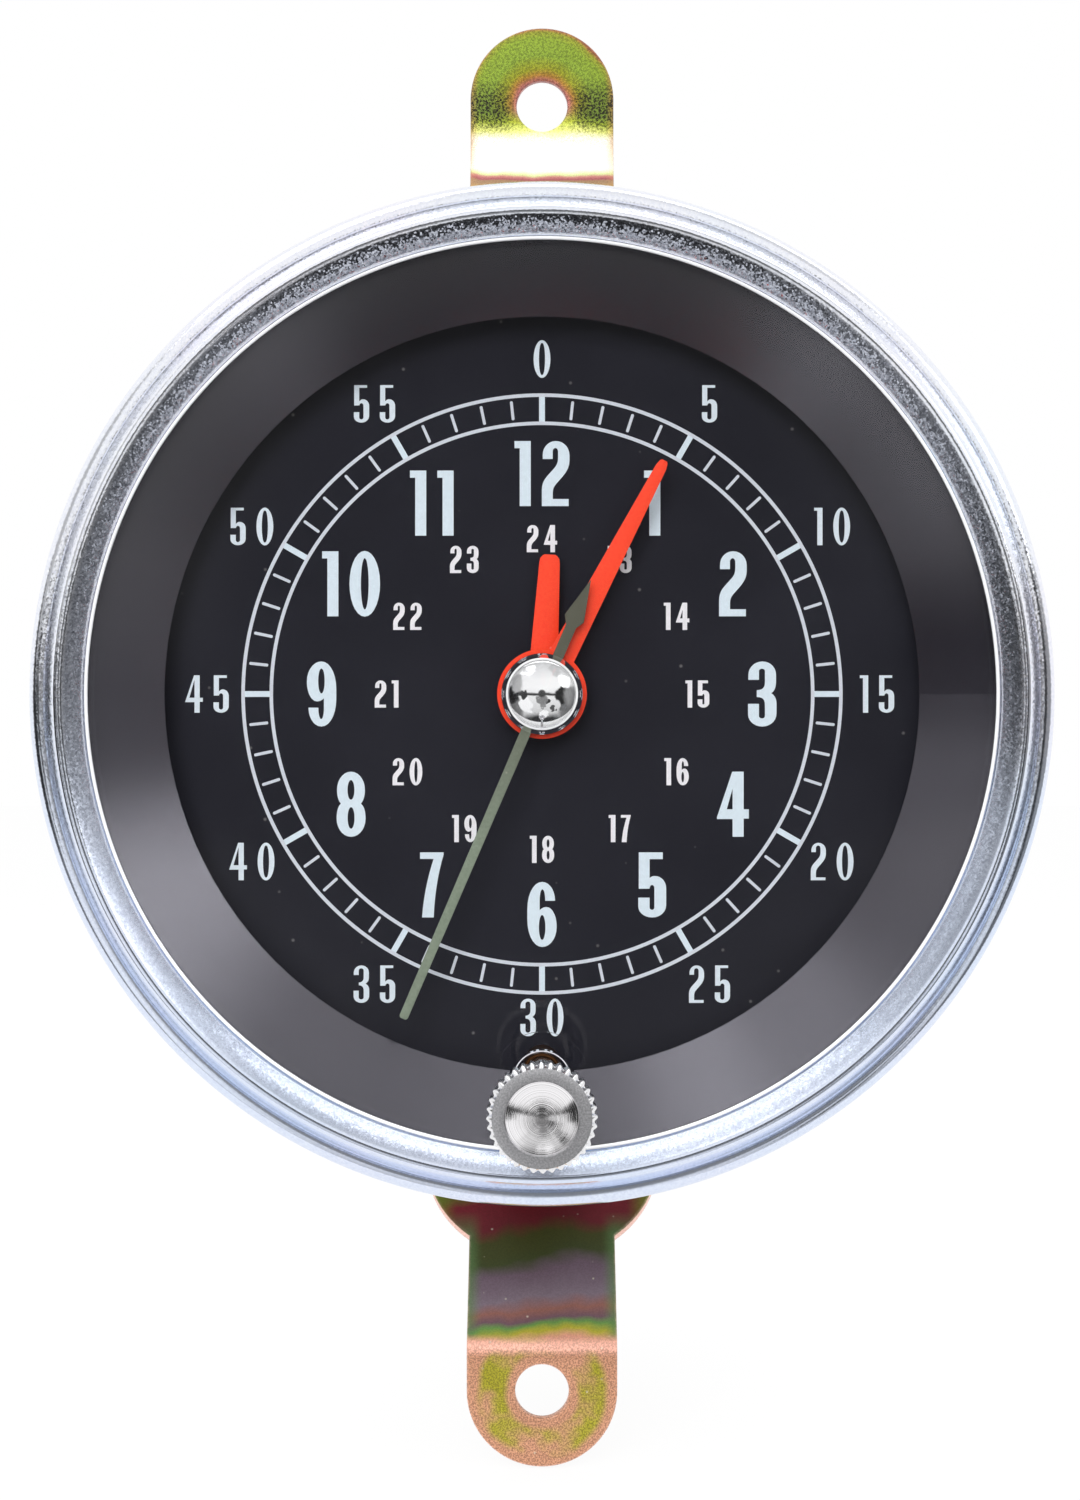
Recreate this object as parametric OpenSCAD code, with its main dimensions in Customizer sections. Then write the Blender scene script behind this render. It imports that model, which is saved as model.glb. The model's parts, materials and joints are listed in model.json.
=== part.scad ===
// Round dashboard clock: plated bezel, three hands, setting knob through the lens,
// two screw brackets and a quartz movement in a drawn can.
// Millimetres, Z up. The dial faces -Y and the hand axis is Y through the origin.
// Y = 0 is the rear edge of the bezel. Inside on_axis() the third axis points to the viewer.

/* [Bezel and lens] */
// Outside diameter of the bezel
bezel_od = 101.6; // [92:0.2:114]
// Radial width of the bezel face, outside edge to window
bezel_face_w = 6; // [5:0.1:7]
// Sheet thickness of the bezel
bezel_sheet = 0.7; // [0.5:0.05:0.9]
// Height of the bezel crest above the lens
crest_rise = 2; // [1.5:0.1:2.8]
// Radius of the crest inside the groove
crest_in = 1.6; // [1.3:0.05:1.9]
// Radial width of the outer bead
bead_w = 1.75; // [1.4:0.05:2]
// Thickness of the lens
lens_t = 2; // [1.5:0.1:3]
// Lens hidden under the bezel lip
lens_lap = 1.9; // [1.5:0.1:2.2]
// Radius of the stem hole in the lens
lens_hole_r = 2.75; // [2.5:0.05:3]
// Radius of the moulded ring round the stem hole
lens_boss_r = 4.7; // [4.2:0.1:5.4]
// Thickness of the gasket under the lens
gasket_t = 0.6; // [0.4:0.1:1]

/* [Dial and shroud] */
// Radial width of the black shroud cone seen from the front
shroud_w = 6.4; // [5:0.1:7.4]
// Depth of the shroud from its rim to the dial
shroud_depth = 8.3; // [7.6:0.1:10]
// Height of the shroud's inner edge above the dial
shroud_lift = 3.2; // [2:0.1:4]
// Wall of the shroud
shroud_wall = 1; // [0.8:0.1:1.4]
// Height of the shroud rim that carries the lens
rim_h = 2.7; // [2:0.1:3.6]
// Thickness of the dial plate
dial_t = 0.8; // [0.6:0.1:1.2]

/* [Hands] */
// Length of the hour hand from the axis
hour_len = 14.3; // [12:0.1:18]
// Width of the hour hand at the hub
hour_base_w = 3.2; // [2.6:0.1:4]
// Width of the hour hand at the tip
hour_tip_w = 2.05; // [1.4:0.05:2.6]
// Length of the minute hand from the axis
minute_len = 26.8; // [22:0.1:31]
// Width of the minute hand at the hub
minute_base_w = 3.05; // [2.4:0.05:4]
// Width of the minute hand at the tip
minute_tip_w = 1.1; // [0.8:0.05:2]
// Length of the second hand from the axis
second_len = 35.7; // [30:0.1:36.5]
// Width of the second hand near the hub
second_w = 1.1; // [0.8:0.05:1.4]
// Length of the arrow tail of the second hand
tail_len = 12.6; // [10:0.1:14]
// Hour hand angle at rest, clockwise from 12
hour_deg = 3.3; // [0:0.1:360]
// Minute hand angle at rest, clockwise from 12
minute_deg = 27.7; // [0:0.1:360]
// Second hand angle at rest, clockwise from 12
second_deg = 203.2; // [0:0.1:360]
// Radius of the chrome cap
cap_r = 3.65; // [3.2:0.05:4]
// Radius of the mirror skirt under the cap
cap_skirt_r = 4.1; // [4.05:0.05:4.3]
// Radius of the round hub of the minute hand
hub_r = 4.56; // [4.4:0.02:5]

/* [Setting knob] */
// Radius of the knurled rim of the knob
knob_r = 5; // [4.4:0.1:6]
// Thickness of the knurled rim
knob_rim_t = 2.4; // [2:0.1:4]
// Radius of the turned dome in the knob face
knob_dome_r = 3.35; // [2.8:0.05:3.8]
// Number of knurl teeth
knurl_n = 36; // [30:1:44]
// Distance from the lens front to the knob face
knob_reach = 22.6; // [16:0.2:28]
// Radius of the stem
stem_r = 1.5; // [1.3:0.05:1.6]

/* [Case] */
// Case depth from the bezel rear edge to the case back
case_depth = 38; // [36.5:0.5:44]
// How far the can side lies inside the bezel
can_inset = 2.3; // [2.1:0.05:2.6]
// Sheet thickness of the can
can_sheet = 0.9; // [0.7:0.05:1.1]
// Diameter of the flat case back
back_d = 70.8; // [69:0.2:76]

/* [Brackets] */
// Sheet thickness of both brackets
bracket_sheet = 1.2; // [1:0.1:1.6]
// Width of the bracket straps
strap_w = 15.6; // [13:0.1:17]
// Diameter of the screw holes
tab_hole_d = 5.56; // [4.5:0.02:6.5]
// Upper tab front face behind the bezel rear edge
upper_tab_y = 18.7; // [17.2:0.1:21]
// Inside radius of the upper bend
upper_bend_r = 11.5; // [9:0.1:12.5]
// Upper screw hole above the end of the bend
upper_rise = 3.75; // [3.5:0.05:8]
// Width of the upper pad
upper_pad_w = 22; // [19:0.2:25]
// Lower tab front face behind the bezel rear edge
lower_tab_y = 4.8; // [3:0.1:8]
// Lower screw hole below the crease
lower_drop = 4.65; // [4.2:0.05:9]
// Inside radius of the lower bend
lower_bend_r = 1.5; // [1:0.1:2.5]
// Radius of the round pad of the lower bracket
lower_pad_r = 12.7; // [11:0.1:13.4]
// Depth of the flats pressed in the can for the pads
pad_flat = 0.75; // [0.6:0.05:0.95]

/* [Movement] */
// Space for the motion work between dial and front plate
motion_gap = 5.2; // [5:0.1:6.4]
// Thickness of the movement plates
plate_t = 1.2; // [1:0.1:1.5]
// Radius of the movement plates
plate_r = 34; // [33.4:0.1:34.6]
// Space for the train between the plates
train_gap = 8.8; // [8.6:0.1:9.6]
// Radius of the circle of pillars
pillar_ring = 29; // [28.6:0.1:29.6]
// Space between the back plate and the circuit board
board_gap = 2.8; // [2.2:0.1:3.2]
// Thickness of the circuit board
board_t = 1.2; // [1:0.1:1.6]
// Face width of the wheels in the train
wheel_t = 0.8; // [0.6:0.05:0.9]

/* [Gears] */
// Module of the setting gears
set_module = 0.5; // [0.48:0.01:0.52]
// Module of the first pair of the train
train_module = 0.3; // [0.29:0.005:0.305]
// Teeth of the cannon pinion and of the stem pinion
cannon_n = 12; // [12:1:12]
// Backlash cut from each tooth, as a part of the module
backlash = 0.22; // [0.18:0.01:0.28]

/* [Hidden] */
$fn = 64;
eps = 0.01;
run = 0.05;
gap = 0.3;
big = 200;

// planes in front of the bezel rear edge (positive to the viewer)
flange_rear = bezel_sheet;
flange_front = flange_rear + can_sheet;
rim_front = flange_front + rim_h;
lens_rear = rim_front + gasket_t;
lens_front = lens_rear + lens_t;
crest_f = lens_front + crest_rise;
dial_front = rim_front - shroud_depth;
dial_back = dial_front - dial_t;
plate1_front = dial_back - motion_gap;
plate1_back = plate1_front - plate_t;
plate2_front = plate1_back - train_gap;
plate2_back = plate2_front - plate_t;
board_front = plate2_back - board_gap;
board_back = board_front - board_t;
back_in = can_sheet - case_depth;
back_gap = board_back - back_in;

// radii
bezel_r = bezel_od / 2;
window_r = bezel_r - bezel_face_w;
skirt_in_r = bezel_r - bezel_sheet;
groove_r = bezel_r - bead_w;
crest_r = groove_r - crest_in;
bead_f = lens_front + 0.35;
lip_round = 0.35;
crest_round = 0.7;
bead_round = bead_w - 0.25;
rear_round = 0.5;
lens_r = window_r + lens_lap;
flange_r = skirt_in_r - gap;
can_r = bezel_r - can_inset;
can_in_r = can_r - can_sheet;
crimp_r = can_r + gap;
back_r = back_d / 2;
shoulder_y = case_depth - (can_r - back_r);
cone_sum = can_r + shoulder_y;
dial_view_r = window_r - shroud_w;
shroud_mouth_r = window_r + 0.4;
dial_r = dial_view_r + 4.2;

// setting gears: cannon, setting wheel and stem pinion lie on one line under the axis
stem_inset = 0.4;
pressure = 25;
addendum = 0.8;
dedendum = 1.15;
cannon_pr = cannon_n * set_module / 2;
set_n = round((dial_view_r - stem_inset - 2 * cannon_pr) / set_module);
set_pr = set_n * set_module / 2;
set_z = -(cannon_pr + set_pr);
stem_z = set_z - set_pr - cannon_pr;
minute_n = 36;
minute_z = cannon_pr + minute_n * set_module / 2;
pin_n = 10;
hour_n = 40;
hour_module = 2 * minute_z / (pin_n + hour_n);

// train: rotor, intermediate, second, third and centre wheels
third_n = 75;
centre_n = 80;
second_n = 50;
inter_n = 60;
third_a = train_module * (pin_n + third_n) / 2;
centre_module = 2 * third_a / (pin_n + centre_n);
second_module = 0.43;
inter_a = second_module * (pin_n + second_n) / 2;
rotor_module = 0.3;
rotor_a = rotor_module * (pin_n + inter_n) / 2;
third_pos = [-third_a, 0];
inter_pos = [inter_a, 0];
rotor_dir = 78.5;
rotor_pos = inter_pos + rotor_a * [cos(rotor_dir), sin(rotor_dir)];

// levels of the gears, from the plates
set_f = plate1_front + 0.7;
set_t = 1;
cannon_f = plate1_front + 0.4;
cannon_t = 1.6;
minute_pin_t = 2.1;
hour_f = plate1_front + 2.4;
hour_t = 1;
pin_over = 0.4;
pin_t = wheel_t + 2 * pin_over;
level = 2;
centre_f = plate1_back - 1 - wheel_t;
third_f = centre_f - level - pin_over;
second_f = third_f - level + 0.2;
inter_f = second_f - level + 0.2;

// tubes and arbors on the hand axis
arbor_r = 0.6;
pivot_r = 0.5;
pipe_in_r = arbor_r + run;
pipe_r = 1.15;
cannon_in_r = pipe_r + run;
cannon_r = 1.75;
hour_in_r = cannon_r + run;
hour_r = 2.4;
hand_t = 0.6;
hand_lift = 1.1;
hand_step = 1.6;
hour_hub_r = 4;
hour_hand_f = dial_front + hand_lift;
minute_hand_f = hour_hand_f + hand_step;
second_hand_f = minute_hand_f + hand_step;
second_t = 0.4;
cap_f = second_hand_f + second_t;
cap_base_t = 0.45;
cap_dome = 1.25;
arbor_tip = cap_f + cap_base_t + 0.3;
hub_ring_w = 0.5;
hub_edge = 0.06;
hub_rise = 0.25;

// stem and knob
knob_face = lens_front + knob_reach;
knob_rear = knob_face - knob_rim_t - 3.6;
knob_hub_r = 2.7;
knob_chamfer = 0.5;
dome_sink = 0.5;
dome_rise = 1;
stem_tail = plate1_back - 1.2;
stem_tip = knob_face - knob_rim_t;
bush_r = stem_r + 0.4;
bush_flange_r = bush_r + 1.1;
bush_tip = lens_rear - 2.6;
clip_r = 2.7;
clip_t = 0.5;
tongue_r = 5;

// pillars, posts and screws
pillar_angles = [90, 210, 330];
dial_post_angles = [45, 135, 195, 345];
dial_post_ring = 30;
dial_post_r = 1.5;
pillar_r = 2.2;
stud_r = 1.1;
stud_in = 2.4;
post_r = 2.7;
stud_post_r = 0.8;
screw_head_r = 2.1;
screw_head_t = 0.9;
screw_shank = 3;
case_screw_head_r = 2.6;
case_screw_head_t = 1.6;
case_screw_len = 5;

// motor
rotor_r = 3;
rotor_t = 3.4;
rotor_drop = 4.9;
stator_up = 0.9;
rotor_f = plate1_back - rotor_drop;
stator_t = 1.5;
stator_f = rotor_f + stator_up;
stator_hole_r = rotor_r + 0.5;
stator_half = 12.5;
stator_w = 9;
core_w = 3;
coil_r = 2.8;
coil_half = 8.6;
coil_off = 10;
motor_turn = atan2(rotor_pos[1], rotor_pos[0]);
stator_post_r = 1.2;
stator_post = [stator_w / 2, stator_half - core_w / 2];

// terminal
term_pos = [-13, 13];
blade_w = 6.3;
blade_t = 0.8;
blade_out = 9;
insul_r = 6.4;
insul_neck_r = 4.8;
insul_t = 1.8;

// brackets
lower_sum = cone_sum - pad_flat * sqrt(2);
crease_z = lower_sum - lower_tab_y;
lower_hole_z = -(crease_z + lower_drop);
pad_run = 23.4;
pad_y = lower_tab_y + pad_run * cos(45);
pad_z = pad_y - lower_sum;
upper_flat_z = can_r - pad_flat;
upper_pad_top = upper_flat_z + bracket_sheet;
upper_straight_y = upper_tab_y - upper_bend_r;
upper_pad_y0 = 1.2;
upper_hole_z = upper_pad_top + upper_bend_r + upper_rise;
upper_end_up = 0.7;
rivet_r = 1.2;
rivet_head_r = 2.1;
rivet_head_t = 0.8;
rivet_tail_r = 1.8;
rivet_tail_t = 0.6;
rivet_room = 0.2;
upper_flat_half = sqrt(pow(can_in_r, 2) - pow(upper_flat_z - can_sheet, 2));
upper_rivet_x = upper_flat_half - rivet_tail_r - rivet_room;
upper_rivet_y = 4.4;
lower_rivet_x = 5;
lower_rivet_up = 7.6;

// turns a shape drawn on the dial (x right, y up, z to the viewer) into the part frame
module on_axis() {
  rotate([90, 0, 0])
    children();
}

// moves a shape drawn on the dial to a place and a plane in front of the rear edge
module at(pos, f) {
  translate([pos[0], pos[1], f])
    children();
}

// extrudes a side profile (y back, z up) across the part
module side_profile(w) {
  rotate([90, 0, 90])
    translate([0, 0, -w / 2])
      linear_extrude(w)
        children();
}

// extrudes an outline (x right, z up) through the whole depth
module front_outline() {
  rotate([90, 0, 0])
    translate([0, 0, -big])
      linear_extrude(2 * big)
        children();
}

module ring(r_out, r_in, t) {
  difference() {
    cylinder(r = r_out, h = t);
    translate([0, 0, -eps])
      cylinder(r = r_in, h = t + 2 * eps);
  }
}

// points of an arc in a profile, from angle a to angle b
function arc(c, r, a, b, n) = [for (i = [0 : n])
  c + r * [cos(a + (b - a) * i / n), sin(a + (b - a) * i / n)]];

// involute tooth flank: half angle of the tooth at radius r
function inv(a) = tan(a) * 180 / PI - a;
function flank(r, base_r) = r <= base_r ? 0 : inv(acos(base_r / r));
function half_tooth(n, m, r) = 90 / n * (1 - 2 * backlash / PI) + inv(pressure)
  - flank(r, n * m / 2 * cos(pressure));

function tooth(n, m, k) =
  let (p = n * m / 2,
       radii = [p - dedendum * m, max(p * cos(pressure), p - 0.6 * m), p, p + addendum * m],
       mid = 360 * k / n)
  concat(
    [for (i = [0 : 3])
      radii[i] * [cos(mid - half_tooth(n, m, radii[i])), sin(mid - half_tooth(n, m, radii[i]))]],
    [for (i = [3 : -1 : 0])
      radii[i] * [cos(mid + half_tooth(n, m, radii[i])), sin(mid + half_tooth(n, m, radii[i]))]]);

module gear(n, m, t, turn) {
  rotate([0, 0, turn])
    linear_extrude(t)
      polygon([for (k = [0 : n - 1]) each tooth(n, m, k)]);
}

// turn of a gear with nb teeth that meshes with one of na teeth, seen in direction dir
function mesh(dir, na, turn_a, nb) =
  dir + 180 - (0.5 - (dir - turn_a) * na / 360) * 360 / nb;

set_turn = mesh(270, cannon_n, 0, set_n);
stem_turn = mesh(270, set_n, set_turn, cannon_n);
minute_turn = mesh(90, cannon_n, 0, minute_n);
hour_turn = mesh(270, pin_n, 0, hour_n);
third_turn = mesh(180, pin_n, 0, third_n);
centre_turn = mesh(0, pin_n, 0, centre_n);
inter_turn = mesh(0, second_n, 0, pin_n);
rotor_turn = mesh(rotor_dir, inter_n, 0, pin_n);

// bezel: sheet ring with rolled lip, inward slope, crest, groove, bead and rear crimp
module bezel_ring() {
  lip = [window_r + lip_round, lens_front + lip_round];
  crest = [crest_r, crest_f - crest_round];
  bead = [bezel_r - bead_round, bead_f - bead_round];
  rear = [bezel_r - rear_round, rear_round];
  // the slope touches the lip and the crest
  slope = atan2(crest[1] - lip[1], crest[0] - lip[0])
    + asin((crest_round - lip_round) / norm(crest - lip)) + 90;
  color("silver")
    on_axis()
      rotate_extrude($fn = 128)
        polygon(concat(
          arc(lip, lip_round, 270, slope, 5),
          arc(crest, crest_round, slope, 20, 6),
          [[groove_r - 0.05, bead_f + 0.35], [groove_r + 0.1, bead_f]],
          arc(bead, bead_round, 90, 0, 5),
          arc(rear, rear_round, 0, -90, 3),
          [[crimp_r, 0], [crimp_r, bezel_sheet], [skirt_in_r, bezel_sheet],
           [skirt_in_r, bead_f - 1.3], [groove_r - 0.7, bead_f - 0.5],
           [crest_r - 0.1, crest_f - 1.1], [lens_r - 0.6, lens_front]]));
}

// lens with the stem hole and its moulded ring
module lens() {
  boss_t = 0.35;
  color("white", 0.25)
    on_axis()
      difference() {
        union() {
          at([0, 0], lens_rear)
            cylinder(r = lens_r, h = lens_t, $fn = 128);
          at([0, stem_z], lens_front - eps)
            cylinder(r = lens_boss_r, h = boss_t + eps);
        }
        at([0, stem_z], lens_rear - 1)
          cylinder(r = lens_hole_r, h = lens_t + 3);
      }
}

module lens_gasket() {
  color("black")
    on_axis()
      at([0, 0], rim_front)
        ring(lens_r, shroud_mouth_r, gasket_t, $fn = 128);
}

// black cone between lens and dial, with a flange on the can
module dial_shroud() {
  rim_out = lens_r;
  edge_f = dial_front + shroud_lift;
  foot_r = dial_view_r + shroud_wall * 2.4;
  bush_hole = bush_flange_r + gap;
  color("black")
    on_axis()
      difference() {
        rotate_extrude($fn = 128)
          polygon([[shroud_mouth_r, rim_front], [rim_out, rim_front], [rim_out, flange_front + 1],
            [flange_r - 0.5, flange_front + 1], [flange_r - 0.5, flange_front],
            [can_in_r - gap, flange_front], [can_in_r - gap, flange_front - 0.6],
            [shroud_mouth_r + shroud_wall, flange_front - 0.6],
            [foot_r + shroud_wall, dial_front], [foot_r, dial_front],
            [foot_r, edge_f - shroud_wall / 2], [dial_view_r, edge_f - shroud_wall / 2],
            [dial_view_r, edge_f]]);
        at([0, stem_z], dial_front - 1)
          cylinder(r = bush_hole, h = big);
      }
}

module dial_plate() {
  color("black")
    on_axis()
      difference() {
        at([0, 0], dial_back)
          cylinder(r = dial_r, h = dial_t, $fn = 128);
        at([0, 0], dial_back - 1)
          cylinder(r = hour_r + 0.6, h = dial_t + 2);
        at([0, stem_z], dial_back - 1)
          cylinder(r = bush_r, h = dial_t + 2);
      }
}

module dial_posts() {
  color("goldenrod")
    on_axis()
      for (a = dial_post_angles)
        at(dial_post_ring * [cos(a), sin(a)], plate1_front)
          cylinder(r = dial_post_r, h = motion_gap);
}

// tapered blade of a hand, drawn pointing to 12
module blade(base_w, tip_w, len) {
  polygon([[-base_w / 2, 0], [base_w / 2, 0], [tip_w / 2, len - tip_w * 0.2],
    [tip_w * 0.3, len], [-tip_w * 0.3, len], [-tip_w / 2, len - tip_w * 0.2]]);
}

module hour_hand() {
  color("orangered")
    on_axis()
      rotate([0, 0, -hour_deg])
        at([0, 0], hour_hand_f)
          difference() {
            linear_extrude(hand_t)
              union() {
                circle(r = hour_hub_r);
                blade(hour_base_w, hour_tip_w, hour_len);
              }
            translate([0, 0, -1])
              cylinder(r = hour_r, h = hand_t + 2);
          }
}

module minute_hand() {
  color("orangered")
    on_axis()
      rotate([0, 0, -minute_deg])
        at([0, 0], minute_hand_f)
          difference() {
            union() {
              linear_extrude(hand_t)
                union() {
                  circle(r = hub_r);
                  blade(minute_base_w, minute_tip_w, minute_len);
                }
              translate([0, 0, hand_t - eps])
                ring(hub_r - hub_edge, hub_r - hub_ring_w, hub_rise);
            }
            translate([0, 0, -1])
              cylinder(r = cannon_r, h = hand_t + 3);
          }
}

// second hand with its arrow tail
module second_hand() {
  hub = 2.6;
  stem_end = tail_len * 0.62;
  barb_w = 2.1;
  color("darkolivegreen")
    on_axis()
      rotate([0, 0, -second_deg])
        at([0, 0], second_hand_f)
          difference() {
            linear_extrude(second_t)
              union() {
                circle(r = hub);
                blade(second_w, second_w * 0.82, second_len);
                translate([-second_w / 2, -stem_end])
                  square([second_w, stem_end]);
                polygon([[-second_w / 2, -stem_end + 0.4], [-barb_w / 2, -stem_end - 0.5],
                  [0, -tail_len], [barb_w / 2, -stem_end - 0.5], [second_w / 2, -stem_end + 0.4]]);
              }
            translate([0, 0, -1])
              cylinder(r = arbor_r, h = second_t + 2);
          }
}

// chrome cap: mirror skirt, rim and dome, pressed on the second arbor
module centre_cap() {
  dome_r = cap_r - 0.28;
  dome_base = cap_base_t + 0.2;
  color("gainsboro")
    on_axis()
      at([0, 0], cap_f)
        difference() {
          rotate_extrude()
            polygon(concat(
              [[0, 0], [cap_skirt_r, 0], [cap_skirt_r, 0.12], [cap_r, cap_base_t],
               [cap_r, dome_base], [dome_r, dome_base]],
              [for (i = [1 : 8]) [dome_r * cos(90 * i / 8), dome_base + cap_dome * sin(90 * i / 8)]]));
          translate([0, 0, -1])
            cylinder(r = arbor_r, h = 1 + arbor_tip - cap_f);
        }
}

module hour_wheel() {
  color("goldenrod")
    on_axis()
      difference() {
        union() {
          at([0, 0], hour_f)
            gear(hour_n, hour_module, hour_t, hour_turn);
          at([0, 0], hour_f)
            cylinder(r = hour_r, h = hour_hand_f + hand_t + 0.2 - hour_f);
        }
        at([0, 0], hour_f - 1)
          cylinder(r = hour_in_r, h = big);
      }
}

module cannon_pinion() {
  color("goldenrod")
    on_axis()
      difference() {
        union() {
          at([0, 0], cannon_f)
            gear(cannon_n, set_module, cannon_t, 0);
          at([0, 0], cannon_f)
            cylinder(r = cannon_r, h = minute_hand_f + hand_t + 0.2 - cannon_f);
        }
        at([0, 0], cannon_f - 1)
          cylinder(r = cannon_in_r, h = big);
      }
}

// stud with a seat flange and a head, for a wheel that turns on it
module stud(pos, top) {
  at(pos, plate1_back)
    cylinder(r = stud_post_r, h = top - plate1_back + eps);
  at(pos, plate1_front)
    cylinder(r = stud_post_r + 0.8, h = 0.4);
  at(pos, top)
    cylinder(r = stud_post_r + 0.5, h = 0.5);
}

module minute_wheel() {
  color("goldenrod")
    on_axis()
      difference() {
        union() {
          at([0, minute_z], set_f)
            gear(minute_n, set_module, set_t, minute_turn);
          at([0, minute_z], set_f + set_t - eps)
            gear(pin_n, hour_module, minute_pin_t + eps, 0);
        }
        at([0, minute_z], set_f - 1)
          cylinder(r = stud_post_r + run, h = big);
      }
}

module minute_post() {
  color("silver")
    on_axis()
      stud([0, minute_z], set_f + set_t + minute_pin_t + 0.2);
}

module setting_wheel() {
  hub_t = 0.8;
  color("goldenrod")
    on_axis()
      difference() {
        union() {
          at([0, set_z], set_f)
            gear(set_n, set_module, set_t, set_turn);
          at([0, set_z], set_f + set_t - eps)
            cylinder(r = 2.4, h = hub_t + eps);
        }
        at([0, set_z], set_f - 1)
          cylinder(r = stud_post_r + run, h = big);
        for (a = [0 : 72 : 288])
          at([0, set_z] + set_pr * 0.56 * [cos(a), sin(a)], set_f - 1)
            cylinder(r = set_pr * 0.2, h = set_t + 2);
      }
}

module setting_post() {
  color("silver")
    on_axis()
      stud([0, set_z], set_f + set_t + 1);
}

// stem with its pinion
module set_stem() {
  color("silver")
    on_axis()
      at([0, stem_z], 0) {
        translate([0, 0, stem_tail])
          cylinder(r = stem_r, h = stem_tip - stem_tail);
        translate([0, 0, cannon_f])
          gear(cannon_n, set_module, cannon_t, stem_turn);
      }
}

module stem_clip() {
  color("dimgray")
    on_axis()
      at([0, stem_z], plate1_back - 0.2 - clip_t)
        ring(clip_r, stem_r, clip_t);
}

// knob: hub, straight knurled rim, chamfer and a turned dome in the face
module set_knob() {
  rim_rear = knob_face - knob_rim_t;
  root_r = knob_r - 0.28;
  step = 360 / knurl_n;
  face_r = knob_r - knob_chamfer;
  dome_ball = (pow(knob_dome_r, 2) + pow(dome_rise, 2)) / (2 * dome_rise);
  dome_deg = asin(knob_dome_r / dome_ball);
  color("silver")
    on_axis()
      at([0, stem_z], 0) {
        difference() {
          union() {
            translate([0, 0, knob_rear])
              cylinder(r = knob_hub_r, h = rim_rear - knob_rear + eps);
            translate([0, 0, rim_rear])
              linear_extrude(knob_rim_t - knob_chamfer)
                polygon([for (k = [0 : knurl_n - 1]) each [
                  root_r * [cos(step * k), sin(step * k)],
                  knob_r * [cos(step * (k + 0.35)), sin(step * (k + 0.35))],
                  knob_r * [cos(step * (k + 0.65)), sin(step * (k + 0.65))]]]);
            translate([0, 0, knob_face - knob_chamfer - eps])
              cylinder(r1 = root_r, r2 = face_r, h = knob_chamfer + eps);
          }
          translate([0, 0, knob_face - dome_sink])
            cylinder(r = knob_dome_r, h = dome_sink + eps);
          translate([0, 0, knob_rear - 1])
            cylinder(r = stem_r, h = stem_tip - knob_rear + 1);
        }
        translate([0, 0, knob_face - dome_sink])
          rotate_extrude()
            polygon(concat([[0, -eps], [knob_dome_r, -eps]],
              arc([0, dome_rise - dome_ball], dome_ball, 90 - dome_deg, 90, 6)));
      }
}

// brass bush for the stem, pressed in the dial
module stem_bush() {
  color("peru")
    on_axis()
      at([0, stem_z], 0)
        difference() {
          union() {
            translate([0, 0, dial_back - 0.8])
              cylinder(r = bush_r, h = bush_tip - dial_back + 0.8);
            translate([0, 0, dial_back - 0.8])
              cylinder(r = bush_flange_r, h = 0.8);
          }
          translate([0, 0, dial_back - 2])
            cylinder(r = stem_r + run, h = big);
        }
}

// wheel and pinion on one arbor between the plates
module arbor(pos, r_body, f0, f1) {
  at(pos, plate2_back + 0.1)
    cylinder(r = pivot_r, h = plate1_front - plate2_back - 0.2);
  at(pos, f0)
    cylinder(r = r_body, h = f1 - f0);
}

module second_wheel() {
  color("goldenrod")
    on_axis() {
      at([0, 0], plate2_front + 0.2)
        cylinder(r = arbor_r, h = arbor_tip - plate2_front - 0.2);
      at([0, 0], plate2_back + 0.1)
        cylinder(r = pivot_r, h = plate_t + 0.2);
      at([0, 0], third_f - pin_over)
        gear(pin_n, train_module, pin_t, 0);
      at([0, 0], second_f)
        gear(second_n, second_module, wheel_t, 0);
    }
}

module third_wheel() {
  color("goldenrod")
    on_axis() {
      arbor(third_pos, arbor_r, plate2_front + 0.2, plate1_back - 0.2);
      at(third_pos, third_f)
        gear(third_n, train_module, wheel_t, third_turn);
      at(third_pos, centre_f - pin_over)
        gear(pin_n, centre_module, pin_t, 0);
    }
}

// centre wheel with the pipe that carries the cannon pinion by friction
module centre_wheel() {
  color("goldenrod")
    on_axis()
      difference() {
        union() {
          at([0, 0], centre_f)
            gear(centre_n, centre_module, wheel_t, centre_turn);
          at([0, 0], centre_f)
            cylinder(r = pipe_r, h = minute_hand_f - 0.4 - centre_f);
          at([0, 0], centre_f)
            cylinder(r = pipe_r + 0.9, h = wheel_t + 0.6);
        }
        at([0, 0], centre_f - 1)
          cylinder(r = pipe_in_r, h = big);
      }
}

module intermediate_wheel() {
  color("goldenrod")
    on_axis() {
      arbor(inter_pos, arbor_r, plate2_front + 0.2, plate1_back - 0.2);
      at(inter_pos, inter_f)
        gear(inter_n, rotor_module, wheel_t, 0);
      at(inter_pos, second_f - pin_over)
        gear(pin_n, second_module, pin_t, inter_turn);
    }
}

module motor_rotor() {
  color("dimgray")
    on_axis() {
      arbor(rotor_pos, arbor_r, plate2_front + 0.2, plate1_back - 0.2);
      at(rotor_pos, rotor_f)
        cylinder(r = rotor_r, h = rotor_t);
      at(rotor_pos, inter_f - pin_over)
        gear(pin_n, rotor_module, pin_t, rotor_turn);
    }
}

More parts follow.
